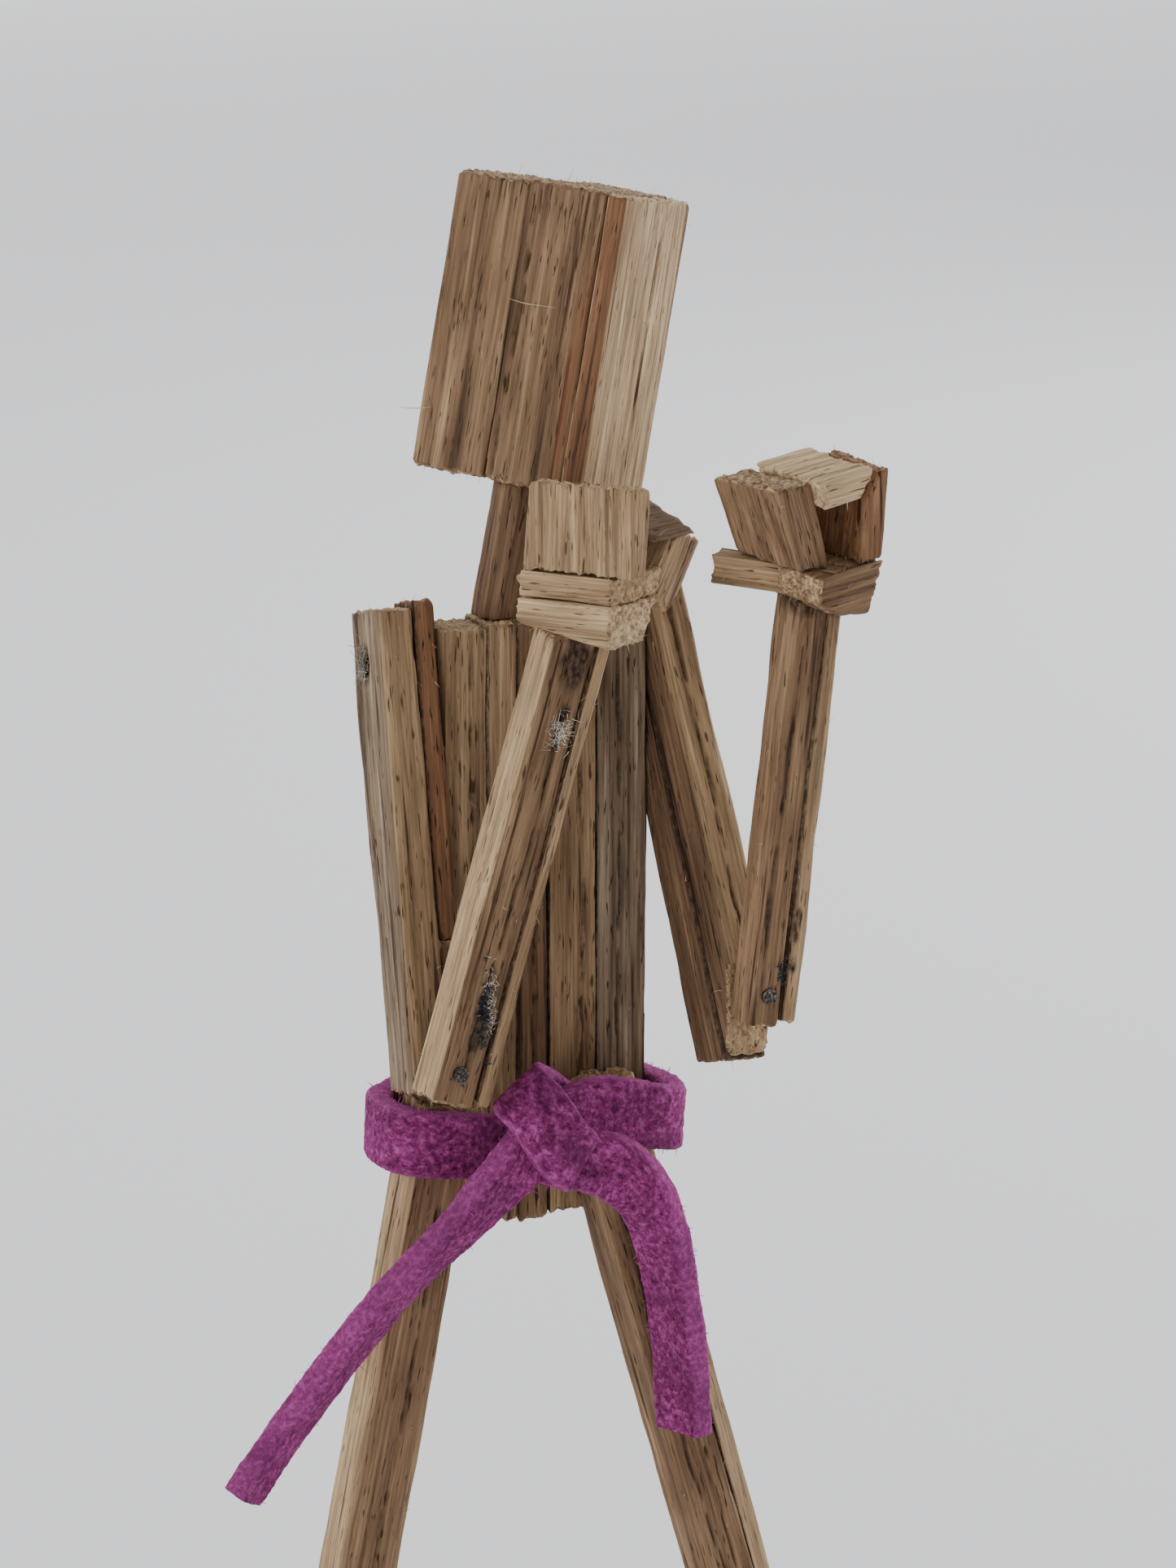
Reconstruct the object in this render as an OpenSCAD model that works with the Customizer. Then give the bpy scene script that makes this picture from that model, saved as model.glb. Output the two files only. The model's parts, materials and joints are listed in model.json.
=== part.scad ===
// Jointed fighter figure made of split craft-stick strips, with a suede lace tied round the waist.
// Millimetres, +Z up, the figure faces -Y and stands on the soles of its feet.
// Right and left are the figure's own: its right side is at -X.

/* [Torso, neck and head] */
// Width of the torso slab, across all five slats
torso_w = 9.8; // [9.6:0.1:10.2]
// Height of the torso slab
torso_h = 27.7; // [27.2:0.1:28.2]
// Thickness of the torso slats
torso_d = 3.2; // [3:0.1:3.3]
// Lean of the neck and head towards the figure's left
head_lean = 10; // [6:1:12]
// Turn of the head about the neck
head_turn = 43; // [30:1:45]
// Height of the head block
head_h = 13.5; // [11:0.1:14]
// Width of the head block, ear to ear
head_w = 7.0; // [6:0.1:7.4]
// Depth of the head block, face to back
head_d = 8.4; // [7:0.1:8.6]

/* [Arms] */
// Width of the right upper arm stick
upper_arm_w = 3.1; // [2.8:0.1:3.1]
// Thickness of the right upper arm stick
upper_arm_d = 3.2; // [2.8:0.1:3.2]
// Forward swing of the right upper arm at rest
right_arm_swing = 12; // [10:1:13]
// Forward swing of the left upper arm at rest
left_arm_swing = 33; // [31:1:34]
// Lean of the right forearm towards the figure's left at rest
right_forearm_lean = 16; // [12:1:17]
// Lean of the left forearm towards the figure's left at rest
left_forearm_lean = 6.5; // [5:0.5:7]

/* [Legs] */
// Outward splay of the right leg at rest
right_leg_splay = 11; // [8:1:12]
// Outward splay of the left leg at rest
left_leg_splay = 16; // [13:1:17]
// Distance from a hip pin to the knee pin
thigh_len = 25; // [24:0.5:28]
// Height of the hip pins above the floor
hip_height = 49.3; // [48:0.1:52]

/* [Pins and belt] */
// Diameter of the wire pins
pin_d = 0.7; // [0.6:0.05:0.8]
// Radial play of a pin in the stick that turns on it
pin_play = 0.04; // [0.03:0.01:0.06]
// Width of the suede lace
lace_w = 3.0; // [2.6:0.1:3.2]
// Thickness of the suede lace
lace_t = 1.2; // [1.1:0.1:1.3]

/* [Hidden] */
$fn = 32;
skin = 0.05;
hip_z = 4.6;
// the whole figure is moved so that its floor outline is centred on the origin
shift = [-0.4, 4.62, hip_height - hip_z];

// torso seams, measured from the right edge of the slab
torso_x = -4.5;
slat_seams = [0, 2.1, 3.5, 5.0, 7.35, torso_w];
slat_drop = [0.15, 0, 0.1, 0, 0.2];
slat_foot = [0, 0.1, 0, 0.25, 0.1];

neck_foot = [-1.1, 0.4, torso_h];
neck_w = 2.2;
neck_d = 2.5;
neck_h = 6.2;
// the head sits off the neck's axis, as a hand-glued block does
head_offset = [0.7, 0.9, neck_h];
head_seams = [-head_d / 2, -head_d / 2 + 1.0, 0.6, head_d / 2];

right_shoulder = [torso_x - skin - upper_arm_w / 2, 0, 26.0];
right_arm_top = 2.4;
right_arm_tip = 19.2;
right_strip_w = 1.15;
right_strip_end = -12.5;

left_arm_w = 2.0;
left_arm_d = 5.4;
left_shoulder = [torso_x + torso_w + skin + left_arm_w / 2, 0, 25.8];
left_arm_front = 2.4;
left_arm_top = 2.4;
left_arm_tip = 20.6;
left_seam = -0.1;
left_flat_y = -10.9;

right_elbow = [-6.3, -7.0, 9.0];
right_forearm_w = 2.9;
right_forearm_d = 2.6;
right_splint_w = 0.7;
left_elbow = [6.3, left_flat_y - skin - 1.15, 12.5];
left_forearm_w = 2.5;
left_forearm_d = 2.3;
left_strip_w = 0.9;
// how deep the pins are driven into the stick that holds them
shoulder_bite = 1.9;
elbow_bite = 3.0;
hip_bite = 1.2;

// hands: each stands on the end of its forearm
right_hand_turn = 35;
right_wrist = [0.15, -6.95, 27.7];
// the left hand hangs from the near upper corner of its finger slab, tipped forward
left_hand_turn = 42;
left_hand_tip = 10;
left_hand_view = -22;
left_hand_at = [5.3, -16, 35.3];

right_thigh_w = 2.8;
left_thigh_w = 3.7;
left_edge_w = 1.2;
thigh_d = 3.2;
thigh_top = 2.0;
leg_y = -torso_d / 2 - skin - thigh_d / 2;
right_hip = [-5.7, leg_y, hip_z];
left_hip = [1.9, leg_y, hip_z];
left_thigh_offset = 0.75;
knee_over = 1.7;
shin_w = 2.8;
foot_size = [3.8, 9.5, 2.2];
foot_y = 1.2;
floor_z = hip_z - hip_height;

// lace round the waist, over both thighs and the back of the torso
belt_z = 4.8;
belt_tilt = 3.5;
belt_gap = 0.2;
// room for the left thigh's outward lean inside the lace
lean_room = 0.6;
knot_y = leg_y - thigh_d / 2 - 0.05 - lace_t;
right_tail = [[-3.9, -7.9, 4.0], [-5.9, -8.0, 2.3], [-7.9, -8.0, 0.6], [-9.8, -7.9, -1.2],
              [-11.6, -7.8, -3.2], [-13.2, -7.7, -5.2], [-14.8, -7.6, -7.2], [-16.4, -7.5, -9.4]];
left_tail = [[2.2, -7.6, 3.3], [3.2, -7.2, 1.6], [3.9, -6.9, -0.2], [4.4, -6.7, -2.2], [4.8, -6.6, -4.4],
             [5.05, -6.5, -6.8], [5.2, -6.5, -9.2]];
right_tail_face = [-0.5, -0.75, 0.4];
left_tail_face = [0.3, -0.95, 0.1];

// ---- helpers ----

// a box between two corners
module block(lo, hi) {
    translate(lo) cube([hi.x - lo.x, hi.y - lo.y, hi.z - lo.z]);
}

// a stick along Z, centred on the axis, with small flats planed along its four edges
module stick(w, d, z0, z1, flat = 0.2) {
    translate([0, 0, z0])
        linear_extrude(z1 - z0)
            polygon([
                [-w / 2 + flat, -d / 2], [w / 2 - flat, -d / 2],
                [w / 2, -d / 2 + flat], [w / 2, d / 2 - flat],
                [w / 2 - flat, d / 2], [-w / 2 + flat, d / 2],
                [-w / 2, d / 2 - flat], [-w / 2, -d / 2 + flat]
            ]);
}

// a split-off edge strip along Z, its front face sloping back from the stick that it is glued to
module wedge(w, d, z0, z1) {
    translate([0, 0, z0])
        linear_extrude(z1 - z0)
            polygon([[0, -d / 2], [w, -d / 2 + w], [w, d / 2], [0, d / 2]]);
}

// a prism along Y whose outline is drawn in X and Z
module slab(outline, y0, y1) {
    translate([0, y1, 0]) rotate([90, 0, 0]) linear_extrude(y1 - y0) polygon(outline);
}

module placed() {
    translate(shift) children();
}

// a cylinder of diameter d from y0 to y1 along Y
module rod_y(at, d, y0, y1) {
    translate([at.x, y1, at.z]) rotate([90, 0, 0]) cylinder(d = d, h = y1 - y0);
}

// a cylinder of diameter d from x0 to x1 along X
module rod_x(at, d, x0, x1) {
    translate([x0, at.y, at.z]) rotate([0, 90, 0]) cylinder(d = d, h = x1 - x0);
}

run_d = pin_d + 2 * pin_play;

// ---- torso, neck and head ----

module slat(i) {
    block([torso_x + slat_seams[i], -torso_d / 2, slat_foot[i]],
          [torso_x + slat_seams[i + 1], torso_d / 2, torso_h - slat_drop[i]]);
}

module torso_slat_1() {
    placed() color("#8B6F4E") difference() {
        slat(0);
        rod_x(right_shoulder, pin_d, torso_x - 1, torso_x + shoulder_bite);
    }
}

module torso_slat_2() {
    placed() color("#7A6045") slat(1);
}

module torso_slat_3() {
    placed() color("#8B6F4E") slat(2);
}

module torso_slat_4() {
    placed() color("#6E563F") difference() {
        slat(3);
        rod_y(left_hip, pin_d, -torso_d, hip_bite);
    }
}

module torso_slat_5() {
    placed() color("#7A6045") difference() {
        slat(4);
        rod_x(left_shoulder, pin_d, torso_x + torso_w - shoulder_bite, torso_x + torso_w + 1);
    }
}

// short block at the slab's right side that carries the right hip pin, hidden under the lace
module right_hip_block() {
    placed() color("#7A6045") difference() {
        translate([torso_x, 0, 3.7]) linear_extrude(2.9)
            polygon([[0, -torso_d / 2], [0, 0.4], [-1.1, 0.4], [-2.3, -torso_d / 2]]);
        rod_y(right_hip, pin_d, -torso_d, -0.3);
    }
}

module on_neck() {
    translate(neck_foot) rotate([0, head_lean, 0]) children();
}

module neck() {
    placed() color("#6F563B") difference() {
        on_neck() stick(neck_w, neck_d, -1.2, neck_h, 0.5);
        block([-10, -10, torso_h - 6], [10, 10, torso_h]);
    }
}

// one of the head's three glued slats, between two seams along its depth
module head_slat(i, drop) {
    placed() on_neck() translate(head_offset) rotate([0, 0, head_turn])
        block([-head_w / 2, head_seams[i], 0], [head_w / 2, head_seams[i + 1], head_h - drop]);
}

module head_face_slat() {
    color("#B89B6E") head_slat(0, 0.1);
}

module head_middle_slat() {
    color("#8F7350") head_slat(1, 0);
}

module head_back_slat() {
    color("#86694A") head_slat(2, 0.15);
}

// ---- arms ----

module on_right_shoulder() {
    translate(right_shoulder) rotate([-right_arm_swing, 0, 0]) children();
}

module right_strip_room() {
    block([upper_arm_w / 2 - right_strip_w, -upper_arm_d, right_strip_end],
          [upper_arm_w, upper_arm_d, upper_arm_w + right_arm_top]);
}

module right_upper_arm() {
    placed() color("#9A7F58") difference() {
        on_right_shoulder() stick(upper_arm_w, upper_arm_d, -right_arm_tip, right_arm_top, 0.3);
        on_right_shoulder() right_strip_room();
        rod_x(right_shoulder, run_d, -9, -3);
        rod_y(right_elbow, pin_d, right_elbow.y - 3, right_elbow.y + elbow_bite);
    }
}

module right_upper_arm_strip() {
    placed() color("#8A5A35") difference() {
        on_right_shoulder() intersection() {
            stick(upper_arm_w, upper_arm_d - 0.3, right_strip_end, right_arm_top + 0.3, 0.3);
            right_strip_room();
        }
        rod_x(right_shoulder, run_d, -9, -3);
    }
}

module on_left_shoulder() {
    translate(left_shoulder)
        rotate([-left_arm_swing, 0, 0]) children();
}

// what is left of the left arm after the sloping end cut and the flat filed for the elbow
module left_arm_cuts() {
    translate([0, -8.5, 8.55]) rotate([-14, 0, 0]) block([0, -10, -10], [20, 10, 0]);
    block([0, -20, 0], [20, left_flat_y, 13.6]);
}

module left_upper_arm_front() {
    placed() color("#A98D62") difference() {
        on_left_shoulder() translate([0, left_seam - left_arm_front / 2, 0])
            stick(left_arm_w, left_arm_front, -left_arm_tip - 2, left_arm_top, 0.2);
        left_arm_cuts();
        rod_x(left_shoulder, run_d, 3, 12);
        rod_y(left_elbow, pin_d, left_elbow.y - 3, left_elbow.y + elbow_bite);
    }
}

module left_upper_arm_rear() {
    rear = left_arm_d - left_arm_front;
    placed() color("#5E4632") difference() {
        on_left_shoulder() translate([0, left_seam + rear / 2, 0])
            stick(left_arm_w - 0.1, rear, -left_arm_tip - 2, left_arm_top - 0.5, 0.2);
        left_arm_cuts();
        rod_x(left_shoulder, run_d, 3, 12);
    }
}

module on_right_elbow() {
    translate(right_elbow) rotate([0, right_forearm_lean, 0]) children();
}

module on_left_elbow() {
    translate(left_elbow) rotate([0, left_forearm_lean, 0]) children();
}

module right_forearm() {
    side = right_forearm_w - right_splint_w;
    placed() color("#7D6346") difference() {
        on_right_elbow() translate([0.35 - right_splint_w / 2, 0, 0])
            stick(side, right_forearm_d, -1.5, 20.5, 0.25);
        on_right_wrist() right_palm_room();
        rod_y(right_elbow, run_d, -12, 0);
    }
}

// pale splinter glued along the inner edge of the right forearm
module right_forearm_splint() {
    placed() color("#C8AE80") difference() {
        on_right_elbow() translate([0.35 + right_forearm_w / 2 - right_splint_w / 2, -0.2, 0])
            stick(right_splint_w, right_forearm_d - 0.5, -1.2, 20.5, 0.1);
        on_right_wrist() right_palm_room();
    }
}

module left_forearm() {
    side = left_forearm_w - left_strip_w;
    placed() color("#957B58") difference() {
        on_left_elbow() translate([0.35 - left_strip_w / 2, 0, 0])
            stick(side, left_forearm_d, -1.4, 18.0, 0.25);
        on_left_wrist() left_palm_room();
        rod_y(left_elbow, run_d, -20, 0);
    }
}

module left_forearm_strip() {
    side = left_forearm_w - left_strip_w;
    placed() color("#A88C63") difference() {
        on_left_elbow() translate([0.35 + side / 2, 0.05, 0])
            stick(left_strip_w, left_forearm_d - 0.2, -1.2, 18.0, 0.2);
        on_left_wrist() left_palm_room();
    }
}

// ---- hands ----

module on_right_wrist() {
    translate(right_wrist) rotate([0, 0, right_hand_turn]) children();
}

module on_left_wrist() {
    translate(left_hand_at)
        rotate([0, 0, left_hand_view])
            rotate([left_hand_tip, 0, 0]) rotate([0, 0, left_hand_turn]) children();
}

// everything above the sloping underside of the right hand
module right_palm_room() {
    translate([-10, 0, 0]) rotate([90, 0, 90]) linear_extrude(20)
        polygon([[-20, 0], [-2.5, 0], [2.6, 0.9], [20, 0.9], [20, 20], [-20, 20]]);
}

module right_palm_lower() {
    placed() color("#B09468") on_right_wrist() intersection() {
        slab([[-1.85, 0], [1.0, 0], [2.0, 2.0], [-1.85, 2.0]], -2.5, 2.6);
        right_palm_room();
    }
}

module right_palm_upper() {
    placed() color("#A3885F") on_right_wrist()
        slab([[-1.8, 2.0], [2.0, 2.0], [2.4, 3.25], [-1.8, 3.25]], -2.55, 2.45);
}

// finger slab, leaning a little over the palm's near end
module right_fingers() {
    placed() color("#A98D62") on_right_wrist() translate([-1.75, 0, 0]) rotate([90, 0, 90])
        linear_extrude(0.9) polygon([[-3.7, 3.25], [2.3, 3.25], [1.9, 7.2], [-4.0, 7.2]]);
}

module right_knuckles() {
    placed() color("#7A5C41") on_right_wrist()
        slab([[-0.85, 7.2], [-0.85, 5.3], [0, 5.1], [1.4, 4.4], [4.6, 4.4], [3.7, 5.0]], -3.0, 2.0);
}

module right_fingertips() {
    placed() color("#B59A6C") on_right_wrist()
        slab([[2.0, 2.0], [3.1, 1.05], [4.2, 1.95], [5.9, 3.95], [4.6, 4.4], [3.2, 4.4], [2.4, 3.25]],
             -2.4, 1.9);
}

module left_palm_slab() {
    slab([[1.5, -4.15], [5.65, -4.15], [4.9, -6.5], [3.1, -6.2], [1.5, -5.2]], -0.9, 3.2);
}

module left_thumb_bar() {
    translate([0.7, 4.9, 0]) rotate([0, 0, 23]) block([0, -6.1, -5.6], [1.1, 0, -4.15]);
}

// room for the left palm and thumb in the end of the forearm
module left_palm_room() {
    block([-5, -5, -5.2], [12, 9, 3]);
    left_palm_slab();
    left_thumb_bar();
}

module left_palm() {
    placed() color("#8A6E4C") on_left_wrist() difference() {
        left_palm_slab();
        left_thumb_bar();
        block([0, -2, -7], [1.9, 5, -3]);
    }
}

module left_thumb() {
    placed() color("#A68A60") on_left_wrist() left_thumb_bar();
}

module left_fingers() {
    placed() color("#A98D62") on_left_wrist() difference() {
        slab([[0, 0], [2.1, 0], [3.2, -4.15], [1.6, -4.15]], 0, 4.3);
        rotate([-6, 0, 0]) block([-2, 0, 0], [6, 8, 3]);
    }
}

module left_knuckles() {
    placed() color("#D2B98C") on_left_wrist()
        slab([[2.1, 0], [5.3, 0], [4.6, -1.2], [2.42, -1.2]], -0.6, 3.6);
}

module left_fingertips() {
    placed() color("#B59A6C") on_left_wrist()
        slab([[5.3, 0], [5.95, 0], [5.65, -4.15], [4.3, -4.15], [4.6, -1.2]], -0.9, 2.6);
}

// ---- legs ----

module on_right_hip() {
    translate(right_hip) rotate([0, right_leg_splay, 0]) children();
}

module on_left_hip() {
    translate(left_hip) rotate([0, -left_leg_splay, 0]) children();
}

// a pin across a leg, square to the leg's side, from x0 to x1 in the leg's own frame
module knee_rod(d, x0, x1) {
    translate([x0, 0, -thigh_len]) rotate([0, 90, 0]) cylinder(d = d, h = x1 - x0);
}

module right_thigh() {
    placed() color("#8A7150") difference() {
        on_right_hip() stick(right_thigh_w, thigh_d, -thigh_len - knee_over, thigh_top, 0.25);
        rod_y(right_hip, run_d, -9, 0);
        on_right_hip() knee_rod(pin_d, -right_thigh_w, right_thigh_w);
    }
}

module left_thigh() {
    main_w = left_thigh_w - left_edge_w;
    placed() color("#8A7150") difference() {
        on_left_hip() translate([left_thigh_offset - left_edge_w / 2, 0, 0])
            stick(main_w, thigh_d, -thigh_len - knee_over, thigh_top, 0.25);
        rod_y(left_hip, run_d, -9, 0);
        on_left_hip() knee_rod(pin_d, -left_thigh_w, left_thigh_w);
    }
}

module left_thigh_strip() {
    main_w = left_thigh_w - left_edge_w;
    placed() color("#A88F66") difference() {
        on_left_hip() translate([left_thigh_offset + (main_w - left_edge_w) / 2, 0.1, 0])
            wedge(left_edge_w, thigh_d - 0.2, -thigh_len - knee_over + 0.6, thigh_top - 0.3);
        on_left_hip() knee_rod(pin_d, -left_thigh_w, left_thigh_w);
    }
}

// the part of a leg below the knee, cut level at the top of the foot
module shin(side_x) {
    difference() {
        translate([side_x, 0, 0]) stick(shin_w, thigh_d - 0.2, -thigh_len - 30, -thigh_len + 1.8, 0.25);
        knee_rod(run_d, side_x - shin_w, side_x + shin_w);
    }
}

right_shin_x = (right_thigh_w + shin_w) / 2 + skin;
left_shin_x = left_thigh_offset - (left_thigh_w + shin_w) / 2 - skin;

module below_ankle() {
    block([-60, -30, floor_z - 30], [60, 30, floor_z + foot_size.z]);
}

module right_shin() {
    placed() color("#80684A") difference() {
        on_right_hip() shin(right_shin_x);
        below_ankle();
    }
}

module left_shin() {
    placed() color("#80684A") difference() {
        on_left_hip() shin(left_shin_x);
        below_ankle();
    }
}

// where a shin's axis meets the top of its foot
function ankle_x(hip, lean, side_x) =
    hip.x + side_x / cos(lean) + (hip.z - floor_z - foot_size.z) * tan(lean);

module foot(x) {
    translate([x, leg_y - foot_y, floor_z])
        block([-foot_size.x / 2, -foot_size.y / 2, 0], [foot_size.x / 2, foot_size.y / 2, foot_size.z]);
}

module right_foot() {
    placed() color("#8F7350") foot(ankle_x(right_hip, -right_leg_splay, right_shin_x));
}

module left_foot() {
    placed() color("#8F7350") foot(ankle_x(left_hip, left_leg_splay, left_shin_x));
}

// ---- pins ----

module right_shoulder_pin() {
    placed() color("#3A3532")
        rod_x(right_shoulder, pin_d, right_shoulder.x - upper_arm_w / 2 - 0.1, torso_x + shoulder_bite);
}

module left_shoulder_pin() {
    placed() color("#3A3532")
        rod_x(left_shoulder, pin_d, torso_x + torso_w - shoulder_bite,
              left_shoulder.x + left_arm_w / 2 + 0.4);
}

module right_elbow_pin() {
    placed() color("#3A3532")
        rod_y(right_elbow, pin_d, right_elbow.y - right_forearm_d / 2 - 0.1, right_elbow.y + elbow_bite);
}

module left_elbow_pin() {
    placed() color("#3A3532")
        rod_y(left_elbow, pin_d, left_elbow.y - left_forearm_d / 2 - 0.1, left_elbow.y + elbow_bite);
}

module right_hip_pin() {
    placed() color("#3A3532") rod_y(right_hip, pin_d, leg_y - thigh_d / 2, -0.4);
}

module left_hip_pin() {
    placed() color("#3A3532") rod_y(left_hip, pin_d, leg_y - thigh_d / 2, hip_bite);
}

module right_knee_pin() {
    placed() color("#3A3532") on_right_hip()
        knee_rod(pin_d, -right_thigh_w / 2, right_shin_x + shin_w / 2);
}

module left_knee_pin() {
    placed() color("#3A3532") on_left_hip()
        knee_rod(pin_d, left_shin_x - shin_w / 2, left_thigh_offset + left_thigh_w / 2);
}

// ---- suede lace ----

// what the lace is tied round: both thigh tops in front, the slab and the hip block behind
module waist() {
    side = right_hip.x - right_thigh_w / 2 - belt_gap;
    // the left thigh leans outwards inside the lace
    strip_x = left_hip.x + left_thigh_offset + left_thigh_w / 2 - left_edge_w + belt_gap + lean_room;
    slab_x = torso_x + torso_w + 0.15;
    back = torso_d / 2 + skin;
    front = leg_y - thigh_d / 2 - skin;
    polygon([
        [side, front], [strip_x, front], [strip_x + left_edge_w, front + left_edge_w],
        [slab_x, -torso_d / 2], [slab_x, back],
        [torso_x - skin, back], [side, -torso_d / 2]
    ]);
}

module belt_loop() {
    placed() color("#8E3A7E")
        translate([0, 0, belt_z]) rotate([0, belt_tilt, 0])
            linear_extrude(lace_w, center = true) difference() {
                offset(r = lace_t) waist();
                waist();
            }
}

module belt_knot() {
    placed() color("#7B2F6C") intersection() {
        hull() {
            translate([-3.3, knot_y - 1.1, 6.0]) sphere(r = 1.1, $fn = 16);
            translate([-1.5, knot_y - 1.4, 7.4]) sphere(r = 1.3, $fn = 16);
            translate([-2.2, knot_y - 1.4, 4.6]) sphere(r = 1.2, $fn = 16);
            translate([1.6, knot_y - 1.1, 4.6]) sphere(r = 1.1, $fn = 16);
        }
        block([-10, -20, 0], [10, knot_y, 20]);
    }
}

// unit vector
function unit(v) = v / norm(v);

// direction of a route at point i
function heading(route, i) =
    unit(route[min(i + 1, len(route) - 1)] - route[max(i - 1, 0)]);

// eight corners of the lace's section, square to the route, its width along face
function section(at, dir, face) =
    let (wide = unit(face - (face * dir) * dir), thick = cross(dir, wide),
         a = lace_w / 2, b = lace_t / 2, c = 0.25)
    [for (q = [[a, b - c], [a - c, b], [c - a, b], [-a, b - c],
               [-a, c - b], [c - a, -b], [a - c, -b], [a, c - b]])
        at + q.x * wide + q.y * thick];

module lace(route, face) {
    rings = len(route);
    corners = [for (i = [0:rings - 1]) each section(route[i], heading(route, i), face)];
    sides = [for (i = [0:rings - 2], k = [0:7])
        [8 * i + k, 8 * i + (k + 1) % 8, 8 * (i + 1) + (k + 1) % 8, 8 * (i + 1) + k]];
    start = [for (k = [7:-1:0]) k];
    finish = [for (k = [0:7]) 8 * (rings - 1) + k];
    polyhedron(corners, concat(sides, [start, finish]));
}

module belt_tail_right() {
    placed() color("#8E3A7E") lace(right_tail, right_tail_face);
}

module belt_tail_left() {
    placed() color("#8E3A7E") lace(left_tail, left_tail_face);
}

torso_slat_1();
torso_slat_2();
torso_slat_3();
torso_slat_4();
torso_slat_5();
right_hip_block();
neck();
head_face_slat();
head_middle_slat();
head_back_slat();
right_upper_arm();
right_upper_arm_strip();
left_upper_arm_front();
left_upper_arm_rear();
right_forearm();
right_forearm_splint();
left_forearm();
left_forearm_strip();
right_palm_lower();
right_palm_upper();
right_fingers();
right_knuckles();
right_fingertips();
left_palm();
left_thumb();
left_fingers();
left_knuckles();
left_fingertips();
right_thigh();
left_thigh();
left_thigh_strip();
right_shin();
left_shin();
right_foot();
left_foot();
right_shoulder_pin();
left_shoulder_pin();
right_elbow_pin();
left_elbow_pin();
right_hip_pin();
left_hip_pin();
right_knee_pin();
left_knee_pin();
belt_loop();
belt_knot();
belt_tail_right();
belt_tail_left();
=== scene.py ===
"""Small fighter figure of split craft-stick strips with a suede lace tied round its waist.

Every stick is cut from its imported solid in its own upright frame, with the grain along Z, weathered with
displacement that is stretched along the grain, and put back in place.
"""

import json
import math

import bpy
import numpy as np
from mathutils import Matrix, Vector

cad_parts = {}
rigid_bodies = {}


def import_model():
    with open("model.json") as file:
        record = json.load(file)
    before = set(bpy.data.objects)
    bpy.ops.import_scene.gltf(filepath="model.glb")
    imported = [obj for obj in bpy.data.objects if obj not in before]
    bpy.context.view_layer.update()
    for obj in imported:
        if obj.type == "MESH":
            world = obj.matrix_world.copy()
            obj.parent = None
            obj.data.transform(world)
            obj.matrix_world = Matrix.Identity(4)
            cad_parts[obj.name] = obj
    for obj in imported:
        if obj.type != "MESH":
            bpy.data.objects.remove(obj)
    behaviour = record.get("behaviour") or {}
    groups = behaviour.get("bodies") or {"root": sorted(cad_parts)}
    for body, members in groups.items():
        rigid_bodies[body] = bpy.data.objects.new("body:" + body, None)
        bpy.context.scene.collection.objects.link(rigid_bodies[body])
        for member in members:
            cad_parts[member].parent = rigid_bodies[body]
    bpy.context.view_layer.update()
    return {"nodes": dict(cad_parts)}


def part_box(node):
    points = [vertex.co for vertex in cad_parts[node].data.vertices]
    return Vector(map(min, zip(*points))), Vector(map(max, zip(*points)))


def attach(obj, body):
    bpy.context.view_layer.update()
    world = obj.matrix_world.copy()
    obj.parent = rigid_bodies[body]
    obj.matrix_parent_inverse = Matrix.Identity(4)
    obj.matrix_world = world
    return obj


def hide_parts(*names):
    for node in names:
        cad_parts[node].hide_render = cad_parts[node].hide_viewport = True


bl_info = {
    "name": "Craft stick fighter figure",
    "version": (1, 0, 0),
    "blender": (4, 5, 0),
    "location": "3D View > Sidebar > Figure",
    "description": "Builds a jointed figure of split craft-stick strips with a suede lace belt",
    "category": "Add Mesh",
}

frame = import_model()

MM = 0.001
# from the maker's bench frame, whose zero is the foot of the torso slab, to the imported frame
BENCH = Vector((-0.4, 4.62, 44.7))

# the camera: the point it faces in mm, its distance in m, its angles in degrees and its lens in mm
EYE_AIM = Vector((2.68, 4.62, 64.46))
EYE_DISTANCE = 0.26
EYE_AZIMUTH, EYE_ELEVATION = -22, 11.5
EYE_LENS = 131.15

# how each group of sticks is turned from upright, as steps about the axes
UPRIGHT = ()
NECK = (("Y", 10),)
HEAD = (("Y", 10), ("Z", 43))
RIGHT_ARM = (("X", -12),)
LEFT_ARM = (("X", -33),)
RIGHT_FOREARM = (("Y", 16),)
LEFT_FOREARM = (("Y", 6.5),)
RIGHT_FIST = (("Z", 35),)
LEFT_FIST = (("Z", -22), ("X", 10), ("Z", 42))
RIGHT_LEG = (("Y", 11),)
LEFT_LEG = (("Y", -16),)
ALONG_Y = (("X", 90),)
ALONG_X = (("Y", 90),)


# ---- colours and nodes ----


def linear(hex_colour):
    """sRGB hex to linear red, green, blue, alpha."""
    parts = [int(hex_colour[i : i + 2], 16) / 255 for i in (1, 3, 5)]
    return [c / 12.92 if c <= 0.04045 else ((c + 0.055) / 1.055) ** 2.4 for c in parts] + [1.0]


def add(tree, kind, settings=None, **links):
    """Adds a node. A link is input_name=value or input_name=(node, output); _ stands for a space."""
    node = tree.nodes.new(kind)
    for name, value in (settings or {}).items():
        setattr(node, name, value)
    for name, value in links.items():
        key = int(name[1:]) if name[0] == "i" and name[1:].isdigit() else name.replace("_", " ")
        socket = node.inputs[key]
        if isinstance(value, tuple) and len(value) == 2 and hasattr(value[0], "outputs"):
            tree.links.new(value[0].outputs[value[1]], socket)
        else:
            socket.default_value = value
    return node


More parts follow.
